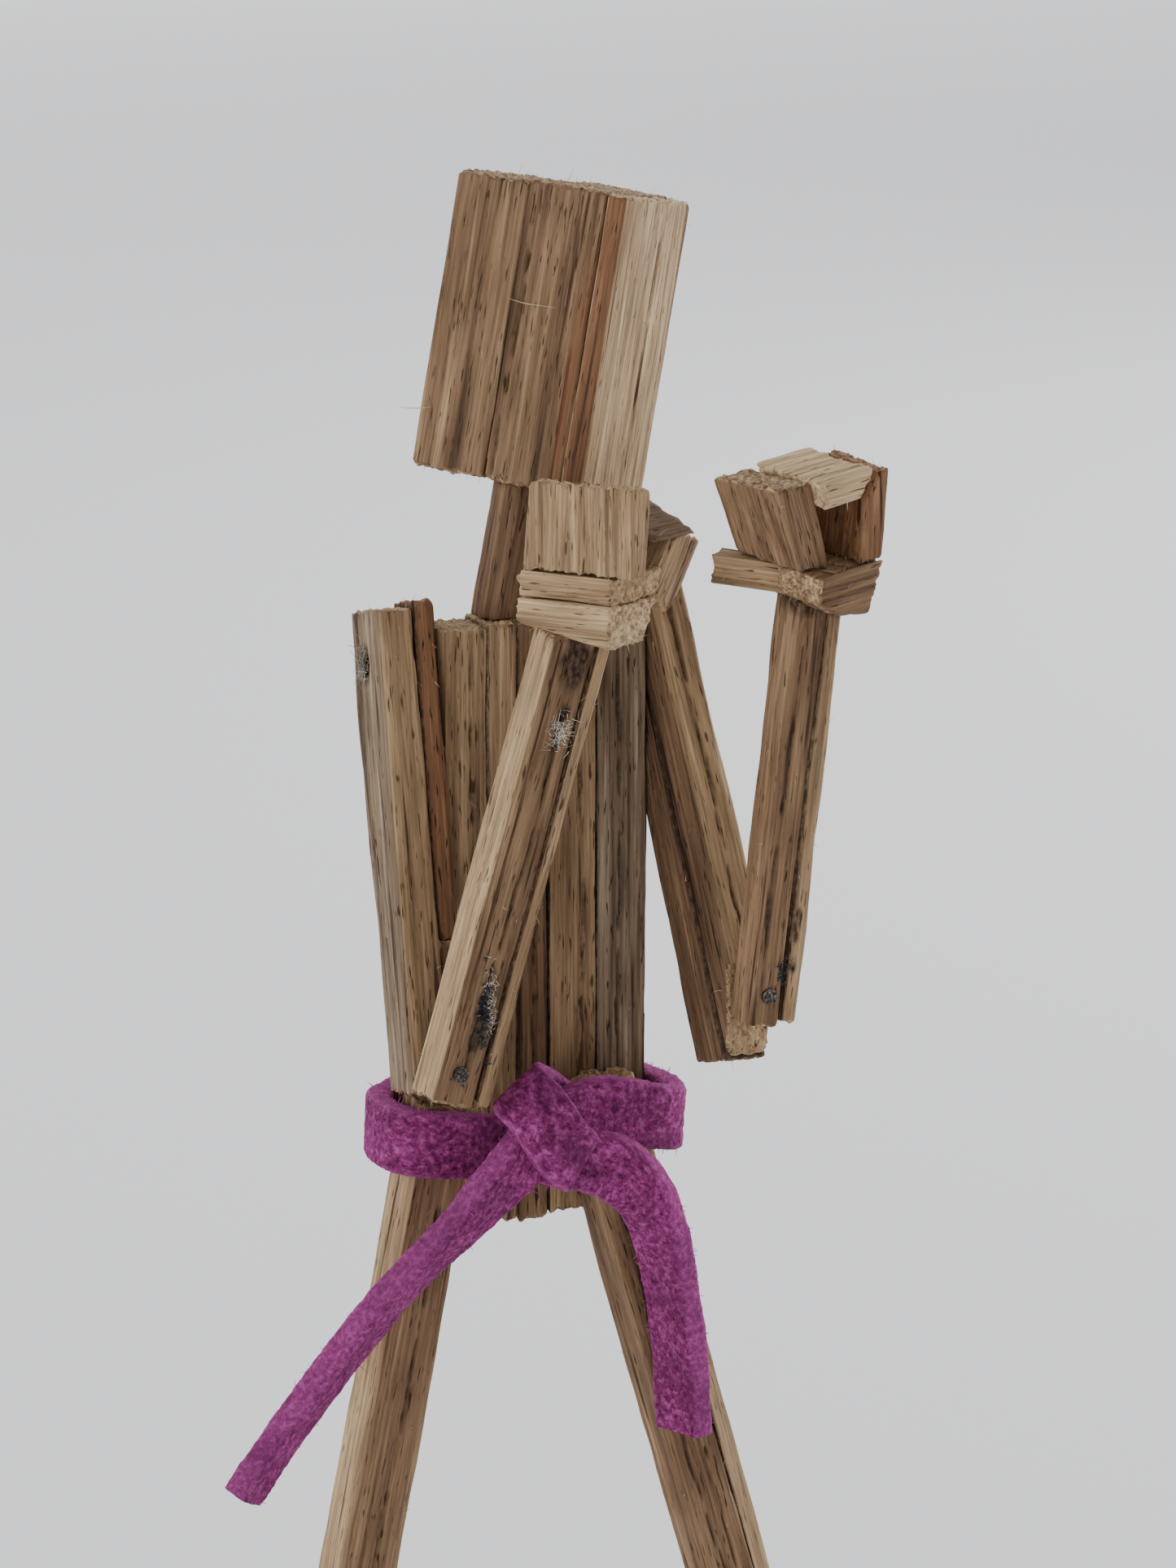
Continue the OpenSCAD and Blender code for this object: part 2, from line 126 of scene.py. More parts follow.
def ramp(tree, source, *stops):
    """Colour ramp over stops of (position, colour or grey)."""
    node = add(tree, "ShaderNodeValToRGB", Fac=source)
    points = node.color_ramp.elements
    while len(points) < len(stops):
        points.new(0.5)
    for point, (at, colour) in zip(points, stops):
        point.position = at
        if isinstance(colour, str):
            colour = linear(colour)
        point.color = colour if isinstance(colour, list) else [colour] * 3 + [1.0]
    return node


def mix(tree, how, factor, a, b):
    return add(tree, "ShaderNodeMix", {"data_type": "RGBA", "blend_type": how}, i0=factor, i6=a, i7=b)


def blank_material(name):
    material = bpy.data.materials.new(name)
    material.use_nodes = True
    tree = material.node_tree
    tree.nodes.clear()
    shader = add(tree, "ShaderNodeBsdfPrincipled")
    add(tree, "ShaderNodeOutputMaterial", Surface=(shader, "BSDF"))
    return material, tree, shader


def stretched_noise(tree, grain, across, along, detail=3.0, rough=0.6):
    """Noise in cells of about 1/across mm over the grain and 1/along mm down it."""
    spread = add(tree, "ShaderNodeMapping", Vector=(grain, "Vector"), Scale=(across, across, along))
    return add(
        tree, "ShaderNodeTexNoise", Vector=(spread, "Vector"), Scale=1.0, Detail=detail, Roughness=rough
    )


def split_birch(name, dark, middle, light, end, stain, contrast=1.0):
    """Birch craft stick, split by hand and left rough: dull, streaked, with open pores and torn fibres."""
    material, tree, shader = blank_material(name)
    grain = add(tree, "ShaderNodeAttribute", {"attribute_name": "grain"})
    marks = add(tree, "ShaderNodeAttribute", {"attribute_name": "marks"})
    parts = add(tree, "ShaderNodeSeparateXYZ", Vector=(marks, "Vector"))
    # growth streaks about 0.8 mm wide
    streak = stretched_noise(tree, grain, 1.6, 0.05, 4.0)
    spread = 0.2 / contrast
    tone = ramp(
        tree, (streak, "Fac"), (0.5 - spread, dark), (0.47, middle), (0.54, middle), (0.5 + spread, light)
    )
    # broad weathering over a few millimetres
    patch = stretched_noise(tree, grain, 0.35, 0.12, 2.0)
    grey = ramp(tree, (patch, "Fac"), (0.42, 0.0), (0.62, 0.5))
    weathered = mix(tree, "MULTIPLY", (grey, "Color"), (tone, "Color"), linear("#B8ACA0"))
    # fibres about 0.12 mm wide, the finest that show
    fibre = stretched_noise(tree, grain, 7.5, 0.22, 4.0, 0.7)
    sheen = ramp(tree, (fibre, "Fac"), (0.36, 0.33), (0.5, 0.5), (0.66, 0.7))
    lit = mix(tree, "OVERLAY", 1.0, (weathered, "Result"), (sheen, "Color"))
    # open pores and fine splits, dark threads along the grain
    thread = stretched_noise(tree, grain, 2.6, 0.09, 2.0, 0.5)
    split = ramp(tree, (thread, "Fac"), (0.29, 1.0), (0.35, 0.0))
    pores = stretched_noise(tree, grain, 9.0, 0.9, 1.0)
    pore = ramp(tree, (pores, "Fac"), (0.28, 1.0), (0.35, 0.0))
    holes = mix(tree, "LIGHTEN", 1.0, (split, "Color"), (pore, "Color"))
    faded = add(tree, "ShaderNodeMath", {"operation": "MULTIPLY"}, i0=(holes, "Result"), i1=0.75)
    opened = mix(tree, "MIX", (faded, "Value"), (lit, "Result"), dark)
    deep = mix(tree, "MULTIPLY", (faded, "Value"), (opened, "Result"), linear("#8A7A6A"))
    # warm stain where the stick's heart shows
    bands = ramp(tree, (streak, "Fac"), (0.38, 0.75), (0.62, 0.15))
    seep = add(tree, "ShaderNodeMath", {"operation": "MULTIPLY"}, i0=(parts, "Y"), i1=(bands, "Color"))
    choice = mix(tree, "MIX", (seep, "Value"), (deep, "Result"), stain)
    # cut ends: pale, with crushed fibres and pores
    crumb = stretched_noise(tree, grain, 4.5, 4.5, 3.0, 0.7)
    crushed = ramp(tree, (crumb, "Fac"), (0.3, dark), (0.46, middle), (0.66, end))
    ended = mix(tree, "MIX", (parts, "X"), (choice, "Result"), (crushed, "Color"))
    # dark spots listed per stick, mostly glue, and painted shade in the splits and in the seams where sticks
    # meet, broken into specks
    speck = stretched_noise(tree, grain, 5.0, 2.0, 2.0)
    torn = ramp(tree, (speck, "Fac"), (0.40, 1.0), (0.62, 0.35))
    glue_and_shade = add(tree, "ShaderNodeMath", {"operation": "MULTIPLY"}, i0=(parts, "Z"), i1=(torn, "Color"))
    done = mix(tree, "MIX", (glue_and_shade, "Value"), (ended, "Result"), linear("#241B16"))
    tree.links.new(done.outputs["Result"], shader.inputs["Base Color"])
    height = add(
        tree, "ShaderNodeMath", {"operation": "SUBTRACT"}, i0=(fibre, "Fac"), i1=(holes, "Result")
    )
    bump = add(tree, "ShaderNodeBump", Height=(height, "Value"), Strength=0.7, Distance=0.00007)
    tree.links.new(bump.outputs["Normal"], shader.inputs["Normal"])
    shader.inputs["Roughness"].default_value = 0.82
    shader.inputs["Specular IOR Level"].default_value = 0.25
    return material


def split_suede(name, deep, body, nap):
    """Split suede lace, dyed through: no shine, and a short pile, pale on its tips, with painted shade
    darkening its pits.
    """
    material, tree, shader = blank_material(name)
    along = add(tree, "ShaderNodeAttribute", {"attribute_name": "grain"})
    marks = add(tree, "ShaderNodeAttribute", {"attribute_name": "marks"})
    parts = add(tree, "ShaderNodeSeparateXYZ", Vector=(marks, "Vector"))
    # pile in clumps of about 0.2 mm
    clump = stretched_noise(tree, along, 4.0, 4.0, 4.0, 0.7)
    pile = ramp(tree, (clump, "Fac"), (0.34, deep), (0.5, body), (0.68, nap))
    cloud = stretched_noise(tree, along, 0.45, 0.3, 2.0)
    shade = ramp(tree, (cloud, "Fac"), (0.35, 0.62), (0.65, 1.0))
    worn = mix(tree, "MULTIPLY", 1.0, (pile, "Color"), (shade, "Color"))
    edge = add(tree, "ShaderNodeMath", {"operation": "MULTIPLY"}, i0=(parts, "X"), i1=0.22)
    edged = mix(tree, "MIX", (edge, "Value"), (worn, "Result"), nap)
    # the pits are mixed toward the deep colour: painted shade
    pit = add(tree, "ShaderNodeMath", {"operation": "MULTIPLY"}, i0=(parts, "Z"), i1=0.8)
    hollow = mix(tree, "MIX", (pit, "Value"), (edged, "Result"), deep)
    tree.links.new(hollow.outputs["Result"], shader.inputs["Base Color"])
    bump = add(tree, "ShaderNodeBump", Height=(clump, "Fac"), Strength=0.9, Distance=0.0001)
    tree.links.new(bump.outputs["Normal"], shader.inputs["Normal"])
    shader.inputs["Roughness"].default_value = 0.95
    shader.inputs["Specular IOR Level"].default_value = 0.1
    shader.inputs["Sheen Weight"].default_value = 0.25
    shader.inputs["Sheen Roughness"].default_value = 0.6
    shader.inputs["Sheen Tint"].default_value = nap
    return material


def fibre_finish(name, colour, tip):
    """Torn wood fibre or suede pile: dull, paler at its tips."""
    material, tree, shader = blank_material(name)
    grain = add(tree, "ShaderNodeAttribute", {"attribute_name": "grain"})
    wave = stretched_noise(tree, grain, 0.9, 0.9, 2.0)
    tone = ramp(tree, (wave, "Fac"), (0.38, colour), (0.6, tip))
    tree.links.new(tone.outputs["Color"], shader.inputs["Base Color"])
    shader.inputs["Roughness"].default_value = 0.9
    shader.inputs["Specular IOR Level"].default_value = 0.15
    return material


def iron_wire(name, base):
    """Annealed iron wire, cut with pliers: dull dark metal with drawing marks and a little rust."""
    material, tree, shader = blank_material(name)
    place = add(tree, "ShaderNodeTexCoord")
    # drawing marks about 0.1 mm apart
    spread = add(tree, "ShaderNodeMapping", Vector=(place, "Object"), Scale=(9000, 9000, 9000))
    marks = add(tree, "ShaderNodeTexNoise", Vector=(spread, "Vector"), Scale=1.0, Detail=2.0)
    tone = ramp(tree, (marks, "Fac"), (0.35, "#2B2622"), (0.55, base), (0.75, "#8C857C"))
    tree.links.new(tone.outputs["Color"], shader.inputs["Base Color"])
    polish = ramp(tree, (marks, "Fac"), (0.3, 0.55), (0.7, 0.3))
    tree.links.new(polish.outputs["Color"], shader.inputs["Roughness"])
    shader.inputs["Metallic"].default_value = 1.0
    return material


def studio_paper(name, colour):
    """Matt studio paper."""
    material, tree, shader = blank_material(name)
    shader.inputs["Base Color"].default_value = colour
    shader.inputs["Roughness"].default_value = 0.95
    shader.inputs["Specular IOR Level"].default_value = 0.0
    return material


# ---- shaping sticks ----


def turned(steps):
    total = Matrix.Identity(4)
    for axis, degrees in steps:
        total = total @ Matrix.Rotation(math.radians(degrees), 4, axis)
    return total


def only(piece):
    """Selects this object alone."""
    bpy.ops.object.select_all(action="DESELECT")
    piece.select_set(True)
    bpy.context.view_layer.objects.active = piece


def finish_modifier(piece, kind, **settings):
    only(piece)
    modifier = piece.modifiers.new(kind.title(), kind)
    for name, value in settings.items():
        setattr(modifier, name, value)
    bpy.ops.object.modifier_apply(modifier=modifier.name)


def points_of(mesh, what="co"):
    """One row of three numbers for each vertex."""
    flat = np.empty(len(mesh.vertices) * 3)
    mesh.vertices.foreach_get(what, flat)
    return flat.reshape(-1, 3)


def normals_of(mesh):
    return points_of(mesh, "normal")


def toward_face(facing, face):
    """How squarely each vertex faces the way a face's name says, such as -y."""
    return facing[:, "xyz".index(face[1])] * (-1 if face[0] == "-" else 1)


def blotches(values, points, spots, strength):
    """Raises values to one inside each spot of (centre, reach)."""
    for centre, reach in spots:
        far = (((points - np.array(centre)) / np.array(reach)) ** 2).sum(axis=1)
        values = np.maximum(values, np.clip(strength - strength * far, 0, 1))
    return values


def set_points(mesh, points):
    mesh.vertices.foreach_set("co", np.asarray(points, dtype=np.float32).ravel())
    mesh.update()


def write_vector(mesh, name, values):
    layer = mesh.attributes.new(name, "FLOAT_VECTOR", "POINT")
    layer.data.foreach_set("vector", np.asarray(values, dtype=np.float32).ravel())


def weather(piece, seed, basis, size, stretch, strength, hard=False, depth=2, group="", way="NORMAL"):
    """Pushes the surface in and out with noise in cells of size mm, stretched along Z."""
    guide = bpy.data.objects.new("grain_guide", None)
    bpy.context.scene.collection.objects.link(guide)
    guide.location = (seed * 7.31, seed * 3.17, seed * 11.9)
    guide.scale = (1, 1, stretch)
    bpy.context.view_layer.update()
    pattern = bpy.data.textures.new("grain", "CLOUDS")
    pattern.noise_basis = basis
    pattern.noise_type = "HARD_NOISE" if hard else "SOFT_NOISE"
    pattern.noise_scale = size
    pattern.noise_depth = depth
    finish_modifier(
        piece,
        "DISPLACE",
        texture=pattern,
        texture_coords="OBJECT",
        texture_coords_object=guide,
        strength=strength,
        mid_level=0.5,
        direction=way,
        vertex_group=group,
    )
    bpy.data.objects.remove(guide)
    bpy.data.textures.remove(pattern)


def cut_groove(points, groove, glue_and_shade):
    """Sinks a wandering split into one face, in mm, and paints its inside darker as painted shade.

    A groove is (face, place across it, z from, z to, depth, half width).
    """
    face, across, z_from, z_to, depth, half = groove
    axis, side = (1 if face[1] == "y" else 0), (-1 if face[0] == "-" else 1)
    other = 1 - axis
    x, f, z = points[:, other], points[:, axis] * side, points[:, 2]
    middle = across + 0.09 * np.sin(z * 0.33 + across * 3) + 0.035 * np.sin(z * 1.7 + across)
    half = half * (0.55 + 0.25 * np.sin(z * 0.9 + across * 5) + 0.12 * np.sin(z * 2.3))
    reach = np.clip(np.minimum(z - z_from, z_to - z) / 1.5, 0, 1)
    near = np.clip(1 - np.abs(x - middle) / half, 0, 1) * reach
    outer = np.clip((f - (f.max() - 0.55)) / 0.3, 0, 1)
    points[:, axis] -= side * depth * near * outer
    # the inside of the split is painted darker: painted shade in the recess
    return np.maximum(glue_and_shade, np.clip(near * 1.2, 0, 0.8) * outer)


def context_sizes():
    return bpy.context.scene.figure_sizes


def stick(node, body, turn, finish, seed, grain=(), rough=1.0, ends=0.3, fine=1.0, grooves=(),
          stain=(), glue_and_shade=(), shaded_seams=(), facets=(), edge=0.14, plugged=False, spread=0.0):
    """One split stick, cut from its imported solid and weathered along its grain."""
    source = frame["nodes"][node]
    bpy.ops.object.select_all(action="DESELECT")
    piece = bpy.data.objects.new(node + "_split", source.data.copy())
    bpy.context.scene.collection.objects.link(piece)
    mesh = piece.data
    mesh.name = piece.name
    mesh.materials.clear()
    for layer in list(mesh.uv_layers):
        mesh.uv_layers.remove(layer)
    low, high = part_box(node)
    centre = (Vector(low) + Vector(high)) / 2
    upright = turned(tuple(turn) + tuple(grain))
    to_bench = Matrix.Scale(1000, 4) @ upright.inverted() @ Matrix.Translation(-centre)
    mesh.transform(to_bench)
    only(piece)
    bpy.ops.object.mode_set(mode="EDIT")
    bpy.ops.mesh.select_all(action="SELECT")
    bpy.ops.mesh.remove_doubles(threshold=0.002)
    if plugged:
        # glue fills the wire's hole, so the stick shows whole
        bpy.ops.mesh.convex_hull()
    bpy.ops.object.mode_set(mode="OBJECT")
    finish_modifier(piece, "BEVEL", width=edge, segments=1, limit_method="ANGLE", angle_limit=0.6)
    size = context_sizes().grain_step / MM * fine
    finish_modifier(piece, "REMESH", mode="VOXEL", voxel_size=size, adaptivity=0.0)
    points = points_of(mesh)
    before = points.copy()
    facing = normals_of(mesh)
    top, foot = points[:, 2].max(), points[:, 2].min()
    if spread:
        # the stick's inner side flares towards its foot, as the split ran out
        fall = (top - points[:, 2]) / (top - foot)
        points[:, 0] -= spread * fall * np.clip(0.5 - points[:, 0] / np.ptp(points[:, 0]), 0, 1)
    marked = np.zeros(len(points))
    for groove in grooves:
        marked = cut_groove(points, groove, marked)
    set_points(mesh, points)
    ended = np.clip((np.abs(facing[:, 2]) - 0.75) / 0.15, 0, 1)
    group = piece.vertex_groups.new(name="ends")
    near_end = np.clip(1 - np.minimum(top - before[:, 2], before[:, 2] - foot) / 0.7, 0, 1)
    for level in (0.25, 0.5, 0.75, 1.0):
        chosen = np.nonzero((near_end > level - 0.25) & (near_end <= level))[0]
        group.add(chosen.tolist(), level, "REPLACE")
    rough *= context_sizes().roughness
    weather(piece, seed, "BLENDER_ORIGINAL", 3.0, 6, 0.2 * rough, depth=1)
    weather(piece, seed + 3, "BLENDER_ORIGINAL", 0.5, 22, 0.17 * rough, hard=True, depth=1)
    weather(piece, seed + 5, "IMPROVED_PERLIN", 0.24, 14, 0.14 * rough, depth=2)
    if ends:
        weather(piece, seed + 8, "BLENDER_ORIGINAL", 0.3, 40, ends, depth=1, group="ends", way="Z")
    piece.vertex_groups.clear()
    # faces that meet another stick are painted darker along the seam: painted shade between the sticks
    for face in shaded_seams:
        marked = np.maximum(marked, 0.85 * np.clip((toward_face(facing, face) - 0.3) / 0.4, 0, 1))
    offset = np.array([seed * 3.7, seed * 5.3, seed * 2.9])
    write_vector(mesh, "grain", before + offset)
    warm = blotches(np.zeros(len(before)), before, stain, 1.4)
    marked = blotches(marked, before, glue_and_shade, 1.5)
    write_vector(mesh, "marks", np.stack([ended, warm, marked], axis=1))
    mesh.transform(to_bench.inverted())
    mesh.polygons.foreach_set("use_smooth", [True] * len(mesh.polygons))
    mesh.materials.append(finish_of(finish))
    # a face may take a second finish: the head's heartwood side, and painted light or painted shade on one
    # side of some arms and a thigh
    if facets:
        starts = np.empty(len(mesh.polygons), dtype=np.int32)
        mesh.polygons.foreach_get("loop_start", starts)
        owners = np.empty(len(mesh.loops), dtype=np.int32)
        mesh.loops.foreach_get("vertex_index", owners)
        chosen = np.zeros(len(starts), dtype=np.int32)
        for number, (face, other) in enumerate(facets, 1):
            mesh.materials.append(finish_of(other))
            chosen[toward_face(facing, face)[owners[starts]] > 0.62] = number
        mesh.polygons.foreach_set("material_index", chosen)
    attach(piece, body)
    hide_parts(node)
    return piece


def tuft(name, roots, finish, body, seed, thin=0.03, curl=0.5):
    """Torn fibres. A root is (place, direction, length) in mm; each fibre is a bent three-sided sliver."""
    chance = np.random.default_rng(seed)
    corners, faces, tint = [], [], []
    for at, way, length in roots:
        at, way = np.array(at, float), np.array(way, float)
        way /= np.linalg.norm(way)
        side = np.cross(way, chance.normal(size=3))
        side /= np.linalg.norm(side)
        other = np.cross(way, side)
        bend = chance.normal(size=3) * curl * length
        base = len(corners)
        width = thin * chance.uniform(0.6, 1.4)
        for step, t in enumerate((0.0, 0.35, 0.7)):
            spot = at + way * length * t + bend * t * t
            for k in range(3):
                a = 2.094 * k
                spread = width * (1 - 0.7 * t)
                corners.append(spot + (side * math.cos(a) + other * math.sin(a)) * spread)
            if step:
                for k in range(3):
                    p, q = base + 3 * (step - 1) + k, base + 3 * (step - 1) + (k + 1) % 3
                    faces.append((p, q, q + 3, p + 3))
        corners.append(at + way * length + bend)
        tip = len(corners) - 1
        for k in range(3):
            faces.append((base + 6 + k, base + 6 + (k + 1) % 3, tip))
        faces.append((base + 2, base + 1, base))
        tint += [chance.uniform(0, 9, 3)] * (len(corners) - base)
    mesh = bpy.data.meshes.new(name)
    mesh.from_pydata([tuple(c * MM) for c in corners], [], faces)
    write_vector(mesh, "grain", tint)
    piece = bpy.data.objects.new(name, mesh)
    bpy.context.scene.collection.objects.link(piece)
    mesh.materials.append(finish)
    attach(piece, body)
    return piece


def nest(name, centre, facing, reach, count, finish, body, seed, length,
         thin=0.02, curl=0.6):
    """A tangle of fibres on a face. centre is on the bench, in mm, and reach is half its width and height."""
    chance = np.random.default_rng(seed)
    facing = np.array(facing, float) / np.linalg.norm(facing)
    side = np.cross((0, 0, 1), facing)
    side /= np.linalg.norm(side)
    upward = np.cross(facing, side)
    roots = []
    for _ in range(count):
        u, v = chance.normal(0, 0.5, 2)
        at = np.array(centre) + np.array(BENCH) + side * u * reach[0] + upward * v * reach[1]
        way = side * chance.normal() + upward * chance.normal() + facing * chance.uniform(-0.1, 0.35)
        roots.append((at, way, chance.uniform(*length)))
    piece = tuft(name, roots, finish, body, seed + 1, thin, curl)
    return piece


def surface_roots(piece, count, seed, where, length, lean, along):
    """Picks places on a piece for torn fibres. where(points in mm) gives how likely each vertex is."""
    chance = np.random.default_rng(seed)
    points = points_of(piece.data) * 1000
    facing = normals_of(piece.data)
    odds = where(points)
    odds = odds / odds.sum()
    picked = chance.choice(len(points), size=count, p=odds)
    roots = []
    for i in picked:
        sign = chance.choice((-1, 1))
        way = facing[i] * lean + np.array(along) * sign + chance.normal(size=3) * 0.25
        roots.append((points[i] - facing[i] * 0.03, way, chance.uniform(*length)))
    return roots


# ---- suede lace ----

LACE_WIDTH = 3.0
LACE_THICKNESS = 1.2

# (x, y, z, width direction) on the bench, from one cut end, through the knot and round the waist,
# to the other end
TAIL_FACE = (-0.5, -0.75, 0.4)
LACE_ROUTE = [
    (-16.4, -7.5, -9.4, TAIL_FACE), (-14.8, -7.6, -7.2, TAIL_FACE), (-13.2, -7.7, -5.2, TAIL_FACE),
    (-11.6, -7.8, -3.2, TAIL_FACE), (-9.8, -7.9, -1.2, TAIL_FACE), (-7.9, -8.0, 0.6, TAIL_FACE),
    (-5.9, -8.0, 2.3, (-0.52, -0.65, 0.55)), (-4.0, -7.8, 4.0, (-0.5, -0.45, 0.7)),
    (-2.4, -7.35, 5.2, (-0.5, -0.2, 0.8)), (-0.9, -7.1, 6.0, (-0.42, 0, 0.9)),
    (0.7, -6.95, 6.4, (-0.15, 0, 1)), (2.4, -6.6, 6.05, (0.1, 0, 1)), (4.0, -6.0, 5.5, (0.1, 0, 1)),
    (5.15, -4.9, 5.15, (0.06, 0, 1)), (5.75, -3.1, 5.0, (0.06, 0, 1)), (5.85, -1.0, 4.85, (0.06, 0, 1)),
    (5.8, 1.0, 4.7, (0.06, 0, 1)), (5.2, 2.1, 4.65, (0.06, 0, 1)), (3.5, 2.35, 4.65, (0.06, 0, 1)),
    (1.0, 2.35, 4.74, (0.06, 0, 1)), (-1.5, 2.35, 4.89, (0.06, 0, 1)), (-4.0, 2.3, 5.04, (0.06, 0, 1)),
    (-5.3, 1.6, 5.12, (0.06, 0, 1)), (-6.6, 0.1, 5.2, (0.06, 0, 1)), (-7.75, -1.5, 5.27, (0.06, 0, 1)),
    (-8.0, -3.2, 5.28, (0.06, 0, 1)), (-7.75, -4.8, 5.27, (0.06, 0, 1)), (-6.8, -5.55, 5.2, (0.06, 0, 1)),
    (-5.0, -5.65, 5.0, (0, 0, 1)), (-3.2, -5.7, 4.8, (0, 0, 1)), (-1.8, -5.75, 4.9, (-0.3, 0, 1)),
    (-1.0, -5.85, 5.6, (-0.9, 0, 0.5)), (-1.25, -6.0, 6.4, (-0.9, 0, -0.4)),
    (-2.0, -6.25, 7.05, (-0.78, 0, -0.62)), (-2.75, -6.8, 7.45, (-0.78, 0, -0.62)),
    (-3.0, -7.5, 7.45, (-0.78, 0, -0.62)), (-2.7, -8.15, 7.05, (-0.76, 0, -0.65)),
    (-2.2, -8.5, 6.2, (-0.7, 0, -0.71)), (-1.7, -8.6, 5.4, (-0.62, 0, -0.78)),
    (-1.15, -8.45, 4.85, (-0.54, 0, -0.84)), (-0.8, -7.9, 4.5, (-0.52, 0, -0.85)),
    (-1.0, -7.25, 4.5, (-0.52, 0, -0.85)), (-1.5, -6.7, 4.6, (-0.52, 0, -0.85)),
    (-1.1, -6.75, 4.5, (-0.5, 0.05, -0.86)), (-0.2, -7.0, 4.3, (-0.42, 0.0, -0.9)),
    (1.2, -7.5, 3.85, (-0.38, 0.2, -0.9)), (2.4, -7.6, 2.8, (-0.28, 0.6, -0.72)),
    (3.3, -7.3, 1.35, (-0.35, 0.88, -0.3)), (3.95, -6.95, -0.3, (-0.34, 0.93, -0.15)),
    (4.4, -6.7, -2.3, (-0.32, 0.94, -0.1)), (4.8, -6.6, -4.5, (-0.3, 0.95, -0.1)),
    (5.05, -6.5, -6.8, (-0.3, 0.95, -0.1)), (5.2, -6.5, -9.2, (-0.3, 0.95, -0.1)),
]


def smooth_route(stops, step):
    """Even points and width directions along a smooth curve through the stops."""
    at = np.array([s[:3] for s in stops], float)
    face = np.array([np.array(s[3], float) / np.linalg.norm(s[3]) for s in stops])
    ends = np.vstack([2 * at[0] - at[1], at, 2 * at[-1] - at[-2]])
    fine, wide = [], []
    for i in range(len(at) - 1):
        a, b, c, d = ends[i : i + 4]
        for t in np.linspace(0, 1, 40, endpoint=False):
            fine.append(
                0.5 * (2 * b + (c - a) * t + (2 * a - 5 * b + 4 * c - d) * t * t
                       + (3 * b - a - 3 * c + d) * t**3)
            )
            wide.append(face[i] * (1 - t) + face[i + 1] * t)
    fine.append(at[-1])
    wide.append(face[-1])
    fine, wide = np.array(fine), np.array(wide)
    gone = np.concatenate([[0], np.cumsum(np.linalg.norm(np.diff(fine, axis=0), axis=1))])
    even = np.linspace(0, gone[-1], int(round(gone[-1] / step)) + 1)
    points = np.stack([np.interp(even, gone, fine[:, k]) for k in range(3)], axis=1)
    across = np.stack([np.interp(even, gone, wide[:, k]) for k in range(3)], axis=1)
    return points, across, even


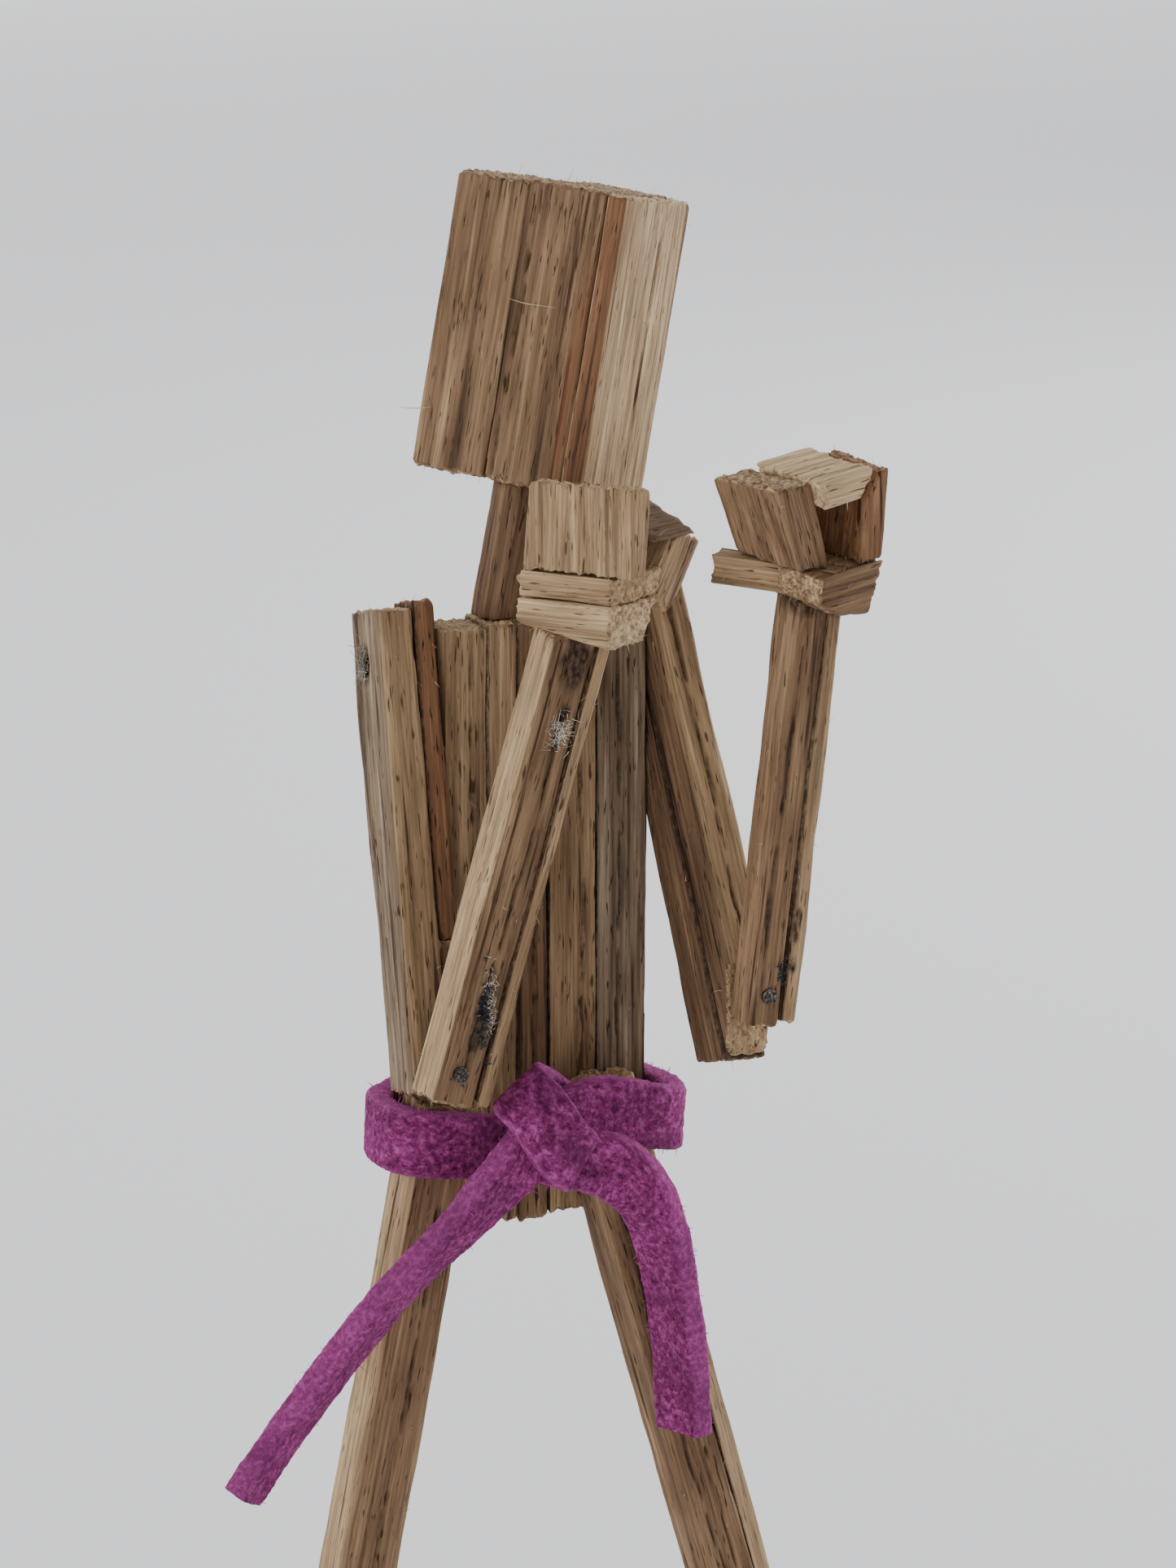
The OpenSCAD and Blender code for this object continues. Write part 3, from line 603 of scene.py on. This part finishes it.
def build_lace(sizes, suede, fuzz):
    """The lace, one flat strip swept along its route and given its pile."""
    step = 0.15
    points, across, gone = smooth_route(LACE_ROUTE, step)
    heading = np.gradient(points, axis=0)
    heading /= np.linalg.norm(heading, axis=1)[:, None]
    across -= (across * heading).sum(axis=1)[:, None] * heading
    across /= np.linalg.norm(across, axis=1)[:, None]
    through = np.cross(heading, across)
    # the section, walked round its edge: flat faces with corners eased by the punch that cut it
    a, b, ease = sizes.lace_width / 2 / MM, sizes.lace_thickness / 2 / MM, 0.3
    outline = []
    for x0, y0, start in ((a - ease, b - ease, 0), (ease - a, b - ease, 90), (ease - a, ease - b, 180),
                          (a - ease, ease - b, 270)):
        for turn in (0, 30, 60, 90):
            angle = math.radians(start + turn)
            outline.append((x0 + ease * math.cos(angle), y0 + ease * math.sin(angle)))
    outline = np.array(outline + outline[:1])
    walked = np.concatenate([[0], np.cumsum(np.linalg.norm(np.diff(outline, axis=0), axis=1))])
    around = int(walked[-1] / step)
    spots = np.linspace(0, walked[-1], around, endpoint=False)
    section = np.stack([np.interp(spots, walked, outline[:, k]) for k in range(2)], axis=1)
    rings = points[:, None, :] + section[None, :, :1] * across[:, None, :]
    rings = rings + section[None, :, 1:] * through[:, None, :]
    count = len(points)
    corners = rings.reshape(-1, 3)
    faces = []
    for i in range(count - 1):
        for k in range(around):
            n = (k + 1) % around
            faces.append((i * around + k, i * around + n, (i + 1) * around + n, (i + 1) * around + k))
    grain = np.concatenate(
        [np.repeat(section[None], count, axis=0), np.repeat(gone[:, None, None], around, axis=1)], axis=2
    ).reshape(-1, 3)
    # cut ends: rows of faces between the two broad sides, so that they take the pile too
    tips = []
    for ring, flip in ((0, False), (count - 1, True)):
        middle = points[ring]
        inner = ring * around
        for scale in (0.72, 0.44, 0.16):
            first = len(corners)
            loop = middle + (corners[ring * around : (ring + 1) * around] - middle) * scale
            corners = np.vstack([corners, loop])
            shrunk = np.hstack([section * scale, np.full((around, 1), gone[ring])])
            grain = np.vstack([grain, shrunk])
            for k in range(around):
                n = (k + 1) % around
                quad = (inner + k, first + k, first + n, inner + n)
                faces.append(quad[::-1] if flip else quad)
            inner = first
        tips.append(len(corners))
        corners = np.vstack([corners, middle])
        grain = np.vstack([grain, [0, 0, gone[ring]]])
        for k in range(around):
            tri = (inner + k, tips[-1], inner + (k + 1) % around)
            faces.append(tri[::-1] if flip else tri)
    mesh = bpy.data.meshes.new("suede_lace")
    mesh.from_pydata(corners.tolist(), [], faces)
    lace = bpy.data.objects.new("suede_lace", mesh)
    bpy.context.scene.collection.objects.link(lace)
    only(lace)
    bpy.ops.object.mode_set(mode="EDIT")
    bpy.ops.mesh.select_all(action="SELECT")
    bpy.ops.mesh.normals_make_consistent(inside=False)
    bpy.ops.object.mode_set(mode="OBJECT")
    smooth = points_of(mesh).copy()
    # the strip's own wobble, then clumps of pile and the pits between them
    weather(lace, 2, "BLENDER_ORIGINAL", 2.2, 1, 0.16, depth=1)
    weather(lace, 4, "BLENDER_ORIGINAL", 0.4, 1, 0.1, depth=2)
    weather(lace, 6, "IMPROVED_PERLIN", 0.18, 1, 0.09, hard=True, depth=2)
    rough = points_of(mesh)
    depth = ((rough - smooth) * normals_of(mesh)).sum(axis=1)
    write_vector(mesh, "grain", grain)
    edge = np.clip((np.abs(grain[:, 0]) - (a - 0.22)) / 0.15, 0, 1)
    # the pits left by the displacement are painted darker: painted shade in the recesses
    pits = np.clip((-depth - 0.03) / 0.1, 0, 1)
    write_vector(mesh, "marks", np.stack([edge, edge * 0, pits], axis=1))
    mesh.transform(Matrix.Scale(MM, 4) @ Matrix.Translation(BENCH))
    mesh.polygons.foreach_set("use_smooth", [True] * len(mesh.polygons))
    mesh.materials.append(suede)
    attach(lace, "torso")
    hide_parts("belt_loop", "belt_knot", "belt_tail_right", "belt_tail_left")
    # loose pile along the cut edges and a little on the faces
    whole = np.abs(grain[:, 0]) > a - 0.25
    roots = surface_roots(lace, 900, 11, lambda p: np.where(whole, 1.0, 0.12), (0.12, 0.34), 1.0, (0, 0, 0))
    pile = tuft("lace_pile", roots, fuzz, "torso", 12, thin=0.022, curl=0.35)
    return lace


# ---- settings ----


class FigureSizes(bpy.types.PropertyGroup):
    """Sizes a maker may change."""

    grain_step: bpy.props.FloatProperty(
        name="Grain step", description="Size of the smallest facet on a split stick",
        default=0.1 * MM, min=0.08 * MM, max=0.4 * MM, unit="LENGTH", precision=6,
    )
    roughness: bpy.props.FloatProperty(
        name="Split roughness", description="How deeply the sticks are torn, against the usual split",
        default=1.0, min=0.0, max=2.0, subtype="FACTOR",
    )
    lace_width: bpy.props.FloatProperty(
        name="Lace width", description="Width of the suede lace", default=LACE_WIDTH * MM,
        min=2 * MM, max=4 * MM, unit="LENGTH", precision=6,
    )
    lace_thickness: bpy.props.FloatProperty(
        name="Lace thickness", description="Thickness of the suede lace", default=LACE_THICKNESS * MM,
        min=0.8 * MM, max=2 * MM, unit="LENGTH", precision=6,
    )
    floor_size: bpy.props.FloatProperty(
        name="Floor size", description="Side of the paper that the figure stands on", default=8.0,
        min=1.0, max=20.0, unit="LENGTH",
    )
    light_power: bpy.props.FloatProperty(
        name="Light power", description="Strength of the soft lights", default=0.85, min=0.0, max=4.0,
        subtype="FACTOR",
    )


def colour_of(name, about, value):
    return bpy.props.FloatVectorProperty(
        name=name, description=about, default=linear(value), size=4, min=0.0, max=1.0, subtype="COLOR"
    )


class FigureColours(bpy.types.PropertyGroup):
    """Colours a maker may change."""

    wood_dark: colour_of("Wood, dark", "Cracks, pores and the darkest streaks", "#3E2A1C")
    wood_brown: colour_of("Wood, brown", "Weathered birch", "#86694E")
    wood_light: colour_of("Wood, light", "Pale streaks in weathered birch", "#AA8D6A")
    wood_pale: colour_of("Wood, fresh", "Freshly split birch", "#C8AC84")
    wood_cream: colour_of("Wood, cut", "Cut ends and torn fibres", "#DDC8A2")
    heart: colour_of("Heart stain", "Orange-brown heartwood", "#7E4A2A")
    suede: colour_of("Suede", "The lace's faces", "#8C326C")
    suede_nap: colour_of("Suede nap", "Tips of the pile and the cut edges", "#BC5FA4")
    # also the painted shade in the lace's pits
    suede_deep: colour_of("Suede pits", "The pits between the pile", "#4E163E")
    iron: colour_of("Iron", "Wire pins", "#5A534C")
    paper: colour_of("Paper", "The studio floor", "#F2F2F4")


def between(a, b, t):
    """The colour a share t of the way from a to b."""
    return [x * (1 - t) + y * t for x, y in zip(a, b)]


FINISHES = {}


def finish_of(name):
    """The figure's materials, each made once."""
    if name in FINISHES:
        return FINISHES[name]
    c = bpy.context.scene.figure_colours
    dark, brown, light = list(c.wood_dark), list(c.wood_brown), list(c.wood_light)
    pale, cream, heart = list(c.wood_pale), list(c.wood_cream), list(c.heart)

    makers = {
        # weathered birch reads mid brown with pale streaks
        "birch_brown": lambda: split_birch(
            "birch_brown", between(dark, brown, 0.3), brown, light, pale, heart),
        # the darkest sticks; on the left upper arm it is painted shade, for the inner side that the torso
        # shades
        "birch_dark": lambda: split_birch(
            "birch_dark", dark, between(dark, brown, 0.62), between(brown, light, 0.35), light, heart),
        # sticks from near the edge of a board stay pale; on the right forearm's narrow side it is painted
        # light
        "birch_pale": lambda: split_birch(
            "birch_pale", between(dark, brown, 0.7), between(light, pale, 0.35), cream, cream, heart, 0.9),
        # painted light: the top of the left fist, lit from above, is painted brighter
        "birch_painted_light": lambda: split_birch(
            "birch_painted_light", brown, pale, cream, cream, heart, 0.8),
        # heartwood, orange brown
        "birch_orange": lambda: split_birch(
            "birch_orange", dark, between(brown, heart, 0.45), between(light, heart, 0.4), light, heart),
        # a stick from nearer the sap, between brown and pale; on the right thigh's narrow side it is painted
        # light
        "birch_tan": lambda: split_birch(
            "birch_tan", between(dark, brown, 0.6), between(brown, light, 0.75), pale, pale, heart, 0.95),
        # left longest in the weather, grey brown
        "birch_grey": lambda: split_birch(
            "birch_grey", dark, linear("#84705A"), linear("#B09F86"), light, heart, 1.1),
        "old_fibre": lambda: fibre_finish("old_fibre", linear("#6E6459"), linear("#B5AA9B")),
        "white_fibre": lambda: fibre_finish("white_fibre", linear("#C9BDAE"), linear("#EDE6DC")),
        "black_glue": lambda: fibre_finish("black_glue", linear("#14171C"), linear("#3B434C")),
        "torn_fibre": lambda: fibre_finish("torn_fibre", light, cream),
        "split_suede": lambda: split_suede(
            "split_suede", list(c.suede_deep), list(c.suede), list(c.suede_nap)),
        "suede_pile": lambda: fibre_finish("suede_pile", list(c.suede), list(c.suede_nap)),
        "iron_wire": lambda: iron_wire("iron_wire", list(c.iron)),
        "studio_paper": lambda: studio_paper("studio_paper", list(c.paper)),
    }
    FINISHES[name] = makers[name]()
    return FINISHES[name]


# ---- operators ----


class FIGURE_OT_stage(bpy.types.Operator):
    """Lays the paper floor, hangs the soft lights and sets the camera"""

    bl_idname = "figure.stage"
    bl_label = "Stage"

    def execute(self, context):
        sizes = context.scene.figure_sizes
        bpy.ops.object.select_all(action="DESELECT")
        bpy.ops.mesh.primitive_plane_add(size=sizes.floor_size, location=(0, 0, 0))
        floor = context.object
        floor.name = "paper_floor"
        bpy.ops.object.mode_set(mode="EDIT")
        bpy.ops.mesh.subdivide(number_cuts=3)
        bpy.ops.object.mode_set(mode="OBJECT")
        floor.data.materials.append(finish_of("studio_paper"))
        world = bpy.data.worlds.new("studio")
        context.scene.world = world
        world.use_nodes = True
        # a bright tent, brightest overhead and behind the figure
        tree = world.node_tree
        back = tree.nodes["Background"]
        back.inputs["Color"].default_value = linear("#FAFCFF")
        place = add(tree, "ShaderNodeTexCoord")
        toward = add(tree, "ShaderNodeVectorMath", {"operation": "DOT_PRODUCT"}, i0=(place, "Generated"),
                     i1=(0.2, 0.75, 0.63))
        level = add(tree, "ShaderNodeMapRange", Value=(toward, "Value"), From_Min=-1.0, From_Max=1.0,
                    To_Min=0.34 * sizes.light_power, To_Max=1.16 * sizes.light_power)
        tree.links.new(level.outputs["Result"], back.inputs["Strength"])
        # low soft boxes at either side and one far back for the paper
        for name, at, size, power in (
            ("left_box", (-0.7, 0.1, 0.24), 0.35, 2.6),
            ("right_box", (0.7, 0.25, 0.26), 0.35, 5.2),
            ("far_box", (0.3, 2.4, 1.2), 1.5, 26.0),
            ("front_box", (-0.35, -0.6, 0.12), 0.3, 0.9),
        ):
            lamp = bpy.data.lights.new(name, "AREA")
            lamp.shape = "SQUARE"
            lamp.size = size
            lamp.energy = power * sizes.light_power
            box = bpy.data.objects.new(name, lamp)
            context.scene.collection.objects.link(box)
            box.location = at
            box.visible_camera = False
            aim = Vector((0.3, 1.2, 0)) if name == "far_box" else Vector((0, 0, 0.07))
            box.rotation_euler = (aim - Vector(at)).to_track_quat("-Z", "Y").to_euler()
        eye = bpy.data.cameras.new("eye")
        eye.sensor_width = 36
        eye.sensor_fit = "AUTO"
        eye.lens = EYE_LENS
        eye.clip_start = 0.01
        camera = bpy.data.objects.new("eye", eye)
        context.scene.collection.objects.link(camera)
        azimuth, elevation = math.radians(EYE_AZIMUTH), math.radians(EYE_ELEVATION)
        toward = Vector((math.sin(azimuth) * math.cos(elevation), -math.cos(azimuth) * math.cos(elevation),
                         math.sin(elevation)))
        camera.location = EYE_AIM * MM + toward * EYE_DISTANCE
        camera.rotation_euler = (-toward).to_track_quat("-Z", "Y").to_euler()
        context.scene.camera = camera
        return {"FINISHED"}


class FIGURE_OT_lace(bpy.types.Operator):
    """Ties the suede lace round the waist"""

    bl_idname = "figure.lace"
    bl_label = "Suede lace"

    def execute(self, context):
        build_lace(context.scene.figure_sizes, finish_of("split_suede"), finish_of("suede_pile"))
        return {"FINISHED"}


class FIGURE_OT_torso(bpy.types.Operator):
    """Splits the five torso slats and the hip block"""

    bl_idname = "figure.torso"
    bl_label = "Torso"

    def execute(self, context):
        # the sides where the slats meet are painted darker: painted shade in the seams
        stick("torso_slat_1", "torso", UPRIGHT, "birch_tan", 1, shaded_seams=("+x",),
              grooves=[("-y", 0.3, -13, 13, 0.3, 0.12)])
        stick("torso_slat_2", "torso", UPRIGHT, "birch_tan", 2, shaded_seams=("-x", "+x"),
              grooves=[("-y", -0.2, -12, 8, 0.3, 0.1)])
        stick("torso_slat_3", "torso", UPRIGHT, "birch_brown", 3, shaded_seams=("-x", "+x"),
              grooves=[("-y", 0.1, -14, 2, 0.3, 0.1)])
        stick("torso_slat_4", "torso", UPRIGHT, "birch_tan", 4, shaded_seams=("-x", "+x"),
              grooves=[("-y", 0.45, -13, 13, 0.4, 0.12)])
        stick("torso_slat_5", "torso", UPRIGHT, "birch_grey", 5, shaded_seams=("-x",),
              grooves=[("-y", -0.1, -10, 13, 0.4, 0.12)])
        stick("right_hip_block", "torso", UPRIGHT, "birch_dark", 6)
        return {"FINISHED"}


class FIGURE_OT_head(bpy.types.Operator):
    """Splits the neck and the three slats of the head"""

    bl_idname = "figure.head"
    bl_label = "Neck and head"

    def execute(self, context):
        stick("neck", "torso", NECK, "birch_dark", 7)
        stick("head_face_slat", "torso", HEAD, "birch_pale", 8, rough=0.6,
              facets=(("-x", "birch_orange"),),
              grooves=[("-y", 0.9, -6, 6, 0.15, 0.09)])
        stick("head_middle_slat", "torso", HEAD, "birch_brown", 9, rough=0.6,
              grooves=[("-x", 1.5, -7, 5.5, 0.35, 0.1)], stain=[((-3.5, -1.7, -2), (0.8, 0.5, 6))])
        stick("head_back_slat", "torso", HEAD, "birch_brown", 10, rough=0.6)
        return {"FINISHED"}


class FIGURE_OT_right_arm(bpy.types.Operator):
    """Splits the right upper arm and forearm"""

    bl_idname = "figure.right_arm"
    bl_label = "Right arm"

    def execute(self, context):
        stick("right_upper_arm", "right_upper_arm", RIGHT_ARM, "birch_tan", 11,
              facets=(("-x", "birch_grey"),), glue_and_shade=[((-1.5, 0.2, 8.4), (0.7, 0.8, 1.1))],
              grooves=[("-y", 0.5, -10.5, 10.5, 0.3, 0.1), ("-x", 0.3, -10, 9, 0.25, 0.1)])
        stick("right_upper_arm_strip", "right_upper_arm", RIGHT_ARM, "birch_orange", 12,
              shaded_seams=("-x",))
        # the forearm's narrow side, turned to the side lamps, is painted paler: painted light
        stick("right_forearm", "right_forearm", RIGHT_FOREARM, "birch_brown", 13, plugged=True,
              facets=(("-x", "birch_pale"),), grooves=[("-y", 0.25, -10, 8, 0.4, 0.14)],
              glue_and_shade=[((0.2, -1.2, -6.5), (0.45, 0.8, 2.4)), ((0.3, -1.2, 7.3), (0.3, 0.7, 0.5)),
                    ((0.2, -1.2, 9.6), (0.9, 0.8, 1.5))])
        stick("right_forearm_splint", "right_forearm", RIGHT_FOREARM, "birch_tan", 14,
              shaded_seams=("-x",))
        return {"FINISHED"}


class FIGURE_OT_left_arm(bpy.types.Operator):
    """Splits the left upper arm and forearm"""

    bl_idname = "figure.left_arm"
    bl_label = "Left arm"

    def execute(self, context):
        # the front piece's inner side and the whole rear piece take the dark birch as painted shade, where
        # the torso shades the arm
        stick("left_upper_arm_front", "left_upper_arm", LEFT_ARM, "birch_tan", 15,
              facets=(("-x", "birch_dark"),), grooves=[("-y", 0.1, -11, 11, 0.4, 0.13)], shaded_seams=("+y",),
              spread=0.1)
        stick("left_upper_arm_rear", "left_upper_arm", LEFT_ARM, "birch_dark", 16, shaded_seams=("-y",),
              spread=0.3)
        stick("left_forearm", "left_forearm", LEFT_FOREARM, "birch_brown", 17, plugged=True,
              grooves=[("-y", -0.2, -9, 9, 0.3, 0.12)], glue_and_shade=[((0, -0.6, 9.3), (1.5, 1.6, 0.9))])
        stick("left_forearm_strip", "left_forearm", LEFT_FOREARM, "birch_tan", 18,
              shaded_seams=("-x",), glue_and_shade=[((0, -0.6, 9.3), (1.5, 1.6, 0.9)), ((-0.1, -1.1, -5.2), (0.25, 0.6, 1.0)),
                                   ((-0.1, -1.1, -7), (0.2, 0.6, 0.5))])
        return {"FINISHED"}


class FIGURE_OT_right_fist(bpy.types.Operator):
    """Splits the five pieces of the right fist"""

    bl_idname = "figure.right_fist"
    bl_label = "Right fist"

    def execute(self, context):
        stick("right_palm_lower", "right_forearm", RIGHT_FIST, "birch_pale", 19, ALONG_Y,
              fine=0.85)
        stick("right_palm_upper", "right_forearm", RIGHT_FIST, "birch_tan", 20, ALONG_Y,
              fine=0.85)
        stick("right_fingers", "right_forearm", RIGHT_FIST, "birch_tan", 21, fine=0.85)
        stick("right_knuckles", "right_forearm", RIGHT_FIST, "birch_dark", 22, ALONG_X,
              fine=0.85)
        stick("right_fingertips", "right_forearm", RIGHT_FIST, "birch_tan", 23,
              (("Y", 40),), fine=0.85)
        return {"FINISHED"}


class FIGURE_OT_left_fist(bpy.types.Operator):
    """Splits the five pieces of the left fist"""

    bl_idname = "figure.left_fist"
    bl_label = "Left fist"

    def execute(self, context):
        stick("left_palm", "left_forearm", LEFT_FIST, "birch_brown", 24, ALONG_X, fine=0.85)
        stick("left_thumb", "left_forearm", LEFT_FIST, "birch_tan", 25,
              (("Z", 23), ("X", 90)), fine=0.85)
        stick("left_fingers", "left_forearm", LEFT_FIST, "birch_brown", 26, (("Y", -18),),
              fine=0.85)
        # the knuckles along the fist's top take the bright birch as painted light from above
        stick("left_knuckles", "left_forearm", LEFT_FIST, "birch_painted_light", 27, ALONG_X, fine=0.85)
        stick("left_fingertips", "left_forearm", LEFT_FIST, "birch_orange", 28, fine=0.85)
        return {"FINISHED"}


class FIGURE_OT_legs(bpy.types.Operator):
    """Splits the thighs, shins and feet"""

    bl_idname = "figure.legs"
    bl_label = "Legs and feet"

    def execute(self, context):
        # the thigh's narrow side, turned to the side lamps, is painted paler: painted light
        stick("right_thigh", "right_thigh", RIGHT_LEG, "birch_brown", 29,
              facets=(("-x", "birch_tan"),), grooves=[("-y", 0.2, -14, 13, 0.35, 0.12)])
        stick("left_thigh", "left_thigh", LEFT_LEG, "birch_brown", 30,
              grooves=[("-y", -0.35, -13, 13, 0.35, 0.12), ("-y", 0.45, -13, 10, 0.3, 0.1)])
        stick("left_thigh_strip", "left_thigh", LEFT_LEG, "birch_tan", 31, shaded_seams=("-x",))
        stick("right_shin", "right_shin", RIGHT_LEG, "birch_brown", 32)
        stick("left_shin", "left_shin", LEFT_LEG, "birch_brown", 33)
        stick("right_foot", "right_shin", UPRIGHT, "birch_brown", 34, ALONG_Y)
        stick("left_foot", "left_shin", UPRIGHT, "birch_brown", 35, ALONG_Y)
        return {"FINISHED"}


class FIGURE_OT_pins(bpy.types.Operator):
    """Gives the eight wire pins their iron"""

    bl_idname = "figure.pins"
    bl_label = "Wire pins"

    def execute(self, context):
        iron = finish_of("iron_wire")
        for name, node in frame["nodes"].items():
            if name.endswith("_pin"):
                node.data.materials.clear()
                node.data.materials.append(iron)
        return {"FINISHED"}


class FIGURE_OT_frays(bpy.types.Operator):
    """Pulls torn fibres out of the sticks' ends and edges"""

    bl_idname = "figure.frays"
    bl_label = "Torn fibres"

    def execute(self, context):
        fibre = finish_of("torn_fibre")
        plan = (
            ("torso", "torso_slat_1 torso_slat_2 torso_slat_3 torso_slat_4 torso_slat_5", 26, UPRIGHT),
            ("torso", "head_face_slat head_middle_slat head_back_slat", 46, HEAD),
            ("right_upper_arm", "right_upper_arm right_upper_arm_strip", 60, RIGHT_ARM),
            ("left_upper_arm", "left_upper_arm_front left_upper_arm_rear", 40, LEFT_ARM),
            ("right_forearm", "right_forearm right_forearm_splint", 70, RIGHT_FOREARM),
            ("left_forearm", "left_forearm left_forearm_strip", 40, LEFT_FOREARM),
            ("right_forearm", "right_palm_lower right_palm_upper right_fingers right_knuckles "
                              "right_fingertips", 34, RIGHT_FIST),
            ("left_forearm", "left_palm left_thumb left_fingers left_knuckles left_fingertips", 34,
             LEFT_FIST),
            ("right_thigh", "right_thigh", 60, RIGHT_LEG),
            ("left_thigh", "left_thigh left_thigh_strip", 50, LEFT_LEG),
        )
        for number, (body, names, count, turn) in enumerate(plan):
            upright = turned(turn).to_3x3()
            for k, name in enumerate(names.split()):
                piece = bpy.data.objects[name + "_split"]
                marks = np.empty(len(piece.data.vertices) * 3)
                piece.data.attributes["marks"].data.foreach_get("vector", marks)
                ended = marks.reshape(-1, 3)[:, 0]
                along = upright @ Vector((0, 0, 1))
                roots = surface_roots(piece, count, 100 + number * 10 + k, lambda p: 0.15 + 2.5 * ended,
                                      (0.15, 0.5), 0.55, tuple(along))
                sprigs = tuft(name + "_fray", roots, fibre, body, 300 + number * 10 + k, thin=0.016)
        front = (-0.1, -1, 0)
        nest("shoulder_nest", (-7.7, 0.1, 26.0), (-1, 0, 0), (0.5, 0.8), 170, finish_of("old_fibre"),
             "right_upper_arm", 401, (0.2, 0.55), 0.02, 0.5)
        white, black = finish_of("white_fibre"), finish_of("black_glue")
        nest("forearm_white_nest", (-1.6, -8.36, 24.0), front, (0.5, 0.8), 120, white,
             "right_forearm", 403, (0.12, 0.42), 0.014)
        nest("forearm_low_nest", (-4.9, -8.34, 12.2), front, (0.3, 1.7), 120, white,
             "right_forearm", 405, (0.1, 0.3), 0.012)
        nest("forearm_glue", (-5.2, -8.32, 11.6), front, (0.3, 1.6), 110, black,
             "right_forearm", 407, (0.1, 0.24), 0.045)
        nest("elbow_glue", (-6.3, -8.34, 9.0), front, (0.3, 0.35), 40, black,
             "right_forearm", 409, (0.1, 0.22), 0.05)
        nest("left_elbow_glue", (6.9, -13.3, 13.6), front, (0.2, 0.5), 40, black,
             "left_forearm", 411, (0.08, 0.2), 0.045)
        # two stray fibres caught on the side of the head
        side = turned(HEAD).to_3x3() @ Vector((-1, 0, 0))
        places = (((-3.52, -0.4, 8.0), (0, -1, 0.05)), ((-3.52, 3.9, 2.6), (-0.5, 1, -0.3)))
        for number, (at, way) in enumerate(places):
            start = turned(NECK) @ (Vector((0.7, 0.9, 6.2)) + turned(HEAD[1:]) @ Vector(at))
            start += Vector((-1.1, 0.4, 27.7)) + BENCH
            toward = turned(HEAD).to_3x3() @ Vector(way)
            root = start + side * 0.05
            strays = [(root, toward + side * 0.08, 1.6), (root, -toward + side * 0.1, 0.9)]
            stray = tuft(f"stray_fibre_{number}", strays, fibre, "torso", 420 + number, 0.022, 0.2)
        return {"FINISHED"}


class FIGURE_PT_build(bpy.types.Panel):
    """The steps that build the figure, in order"""

    bl_label = "Fighter figure"
    bl_idname = "FIGURE_PT_build"
    bl_space_type = "VIEW_3D"
    bl_region_type = "UI"
    bl_category = "Figure"

    def draw(self, context):
        column = self.layout.column()
        for name in FigureSizes.__annotations__:
            column.prop(context.scene.figure_sizes, name)
        for name in FigureColours.__annotations__:
            column.prop(context.scene.figure_colours, name)
        for step in STEPS:
            column.operator(step.bl_idname)


STEPS = (
    FIGURE_OT_stage, FIGURE_OT_lace, FIGURE_OT_torso, FIGURE_OT_head, FIGURE_OT_right_arm,
    FIGURE_OT_left_arm, FIGURE_OT_right_fist, FIGURE_OT_left_fist, FIGURE_OT_legs, FIGURE_OT_pins,
    FIGURE_OT_frays,
)
CLASSES = (FigureSizes, FigureColours) + STEPS + (FIGURE_PT_build,)


def register():
    for thing in CLASSES:
        bpy.utils.register_class(thing)
    bpy.types.Scene.figure_sizes = bpy.props.PointerProperty(type=FigureSizes)
    bpy.types.Scene.figure_colours = bpy.props.PointerProperty(type=FigureColours)


def unregister():
    del bpy.types.Scene.figure_colours
    del bpy.types.Scene.figure_sizes
    for thing in reversed(CLASSES):
        bpy.utils.unregister_class(thing)


def main():
    register()
    for step in STEPS:
        group, name = step.bl_idname.split(".")
        if getattr(getattr(bpy.ops, group), name)() != {"FINISHED"}:
            raise RuntimeError(step.bl_label + " was not finished")


if __name__ == "__main__":
    main()
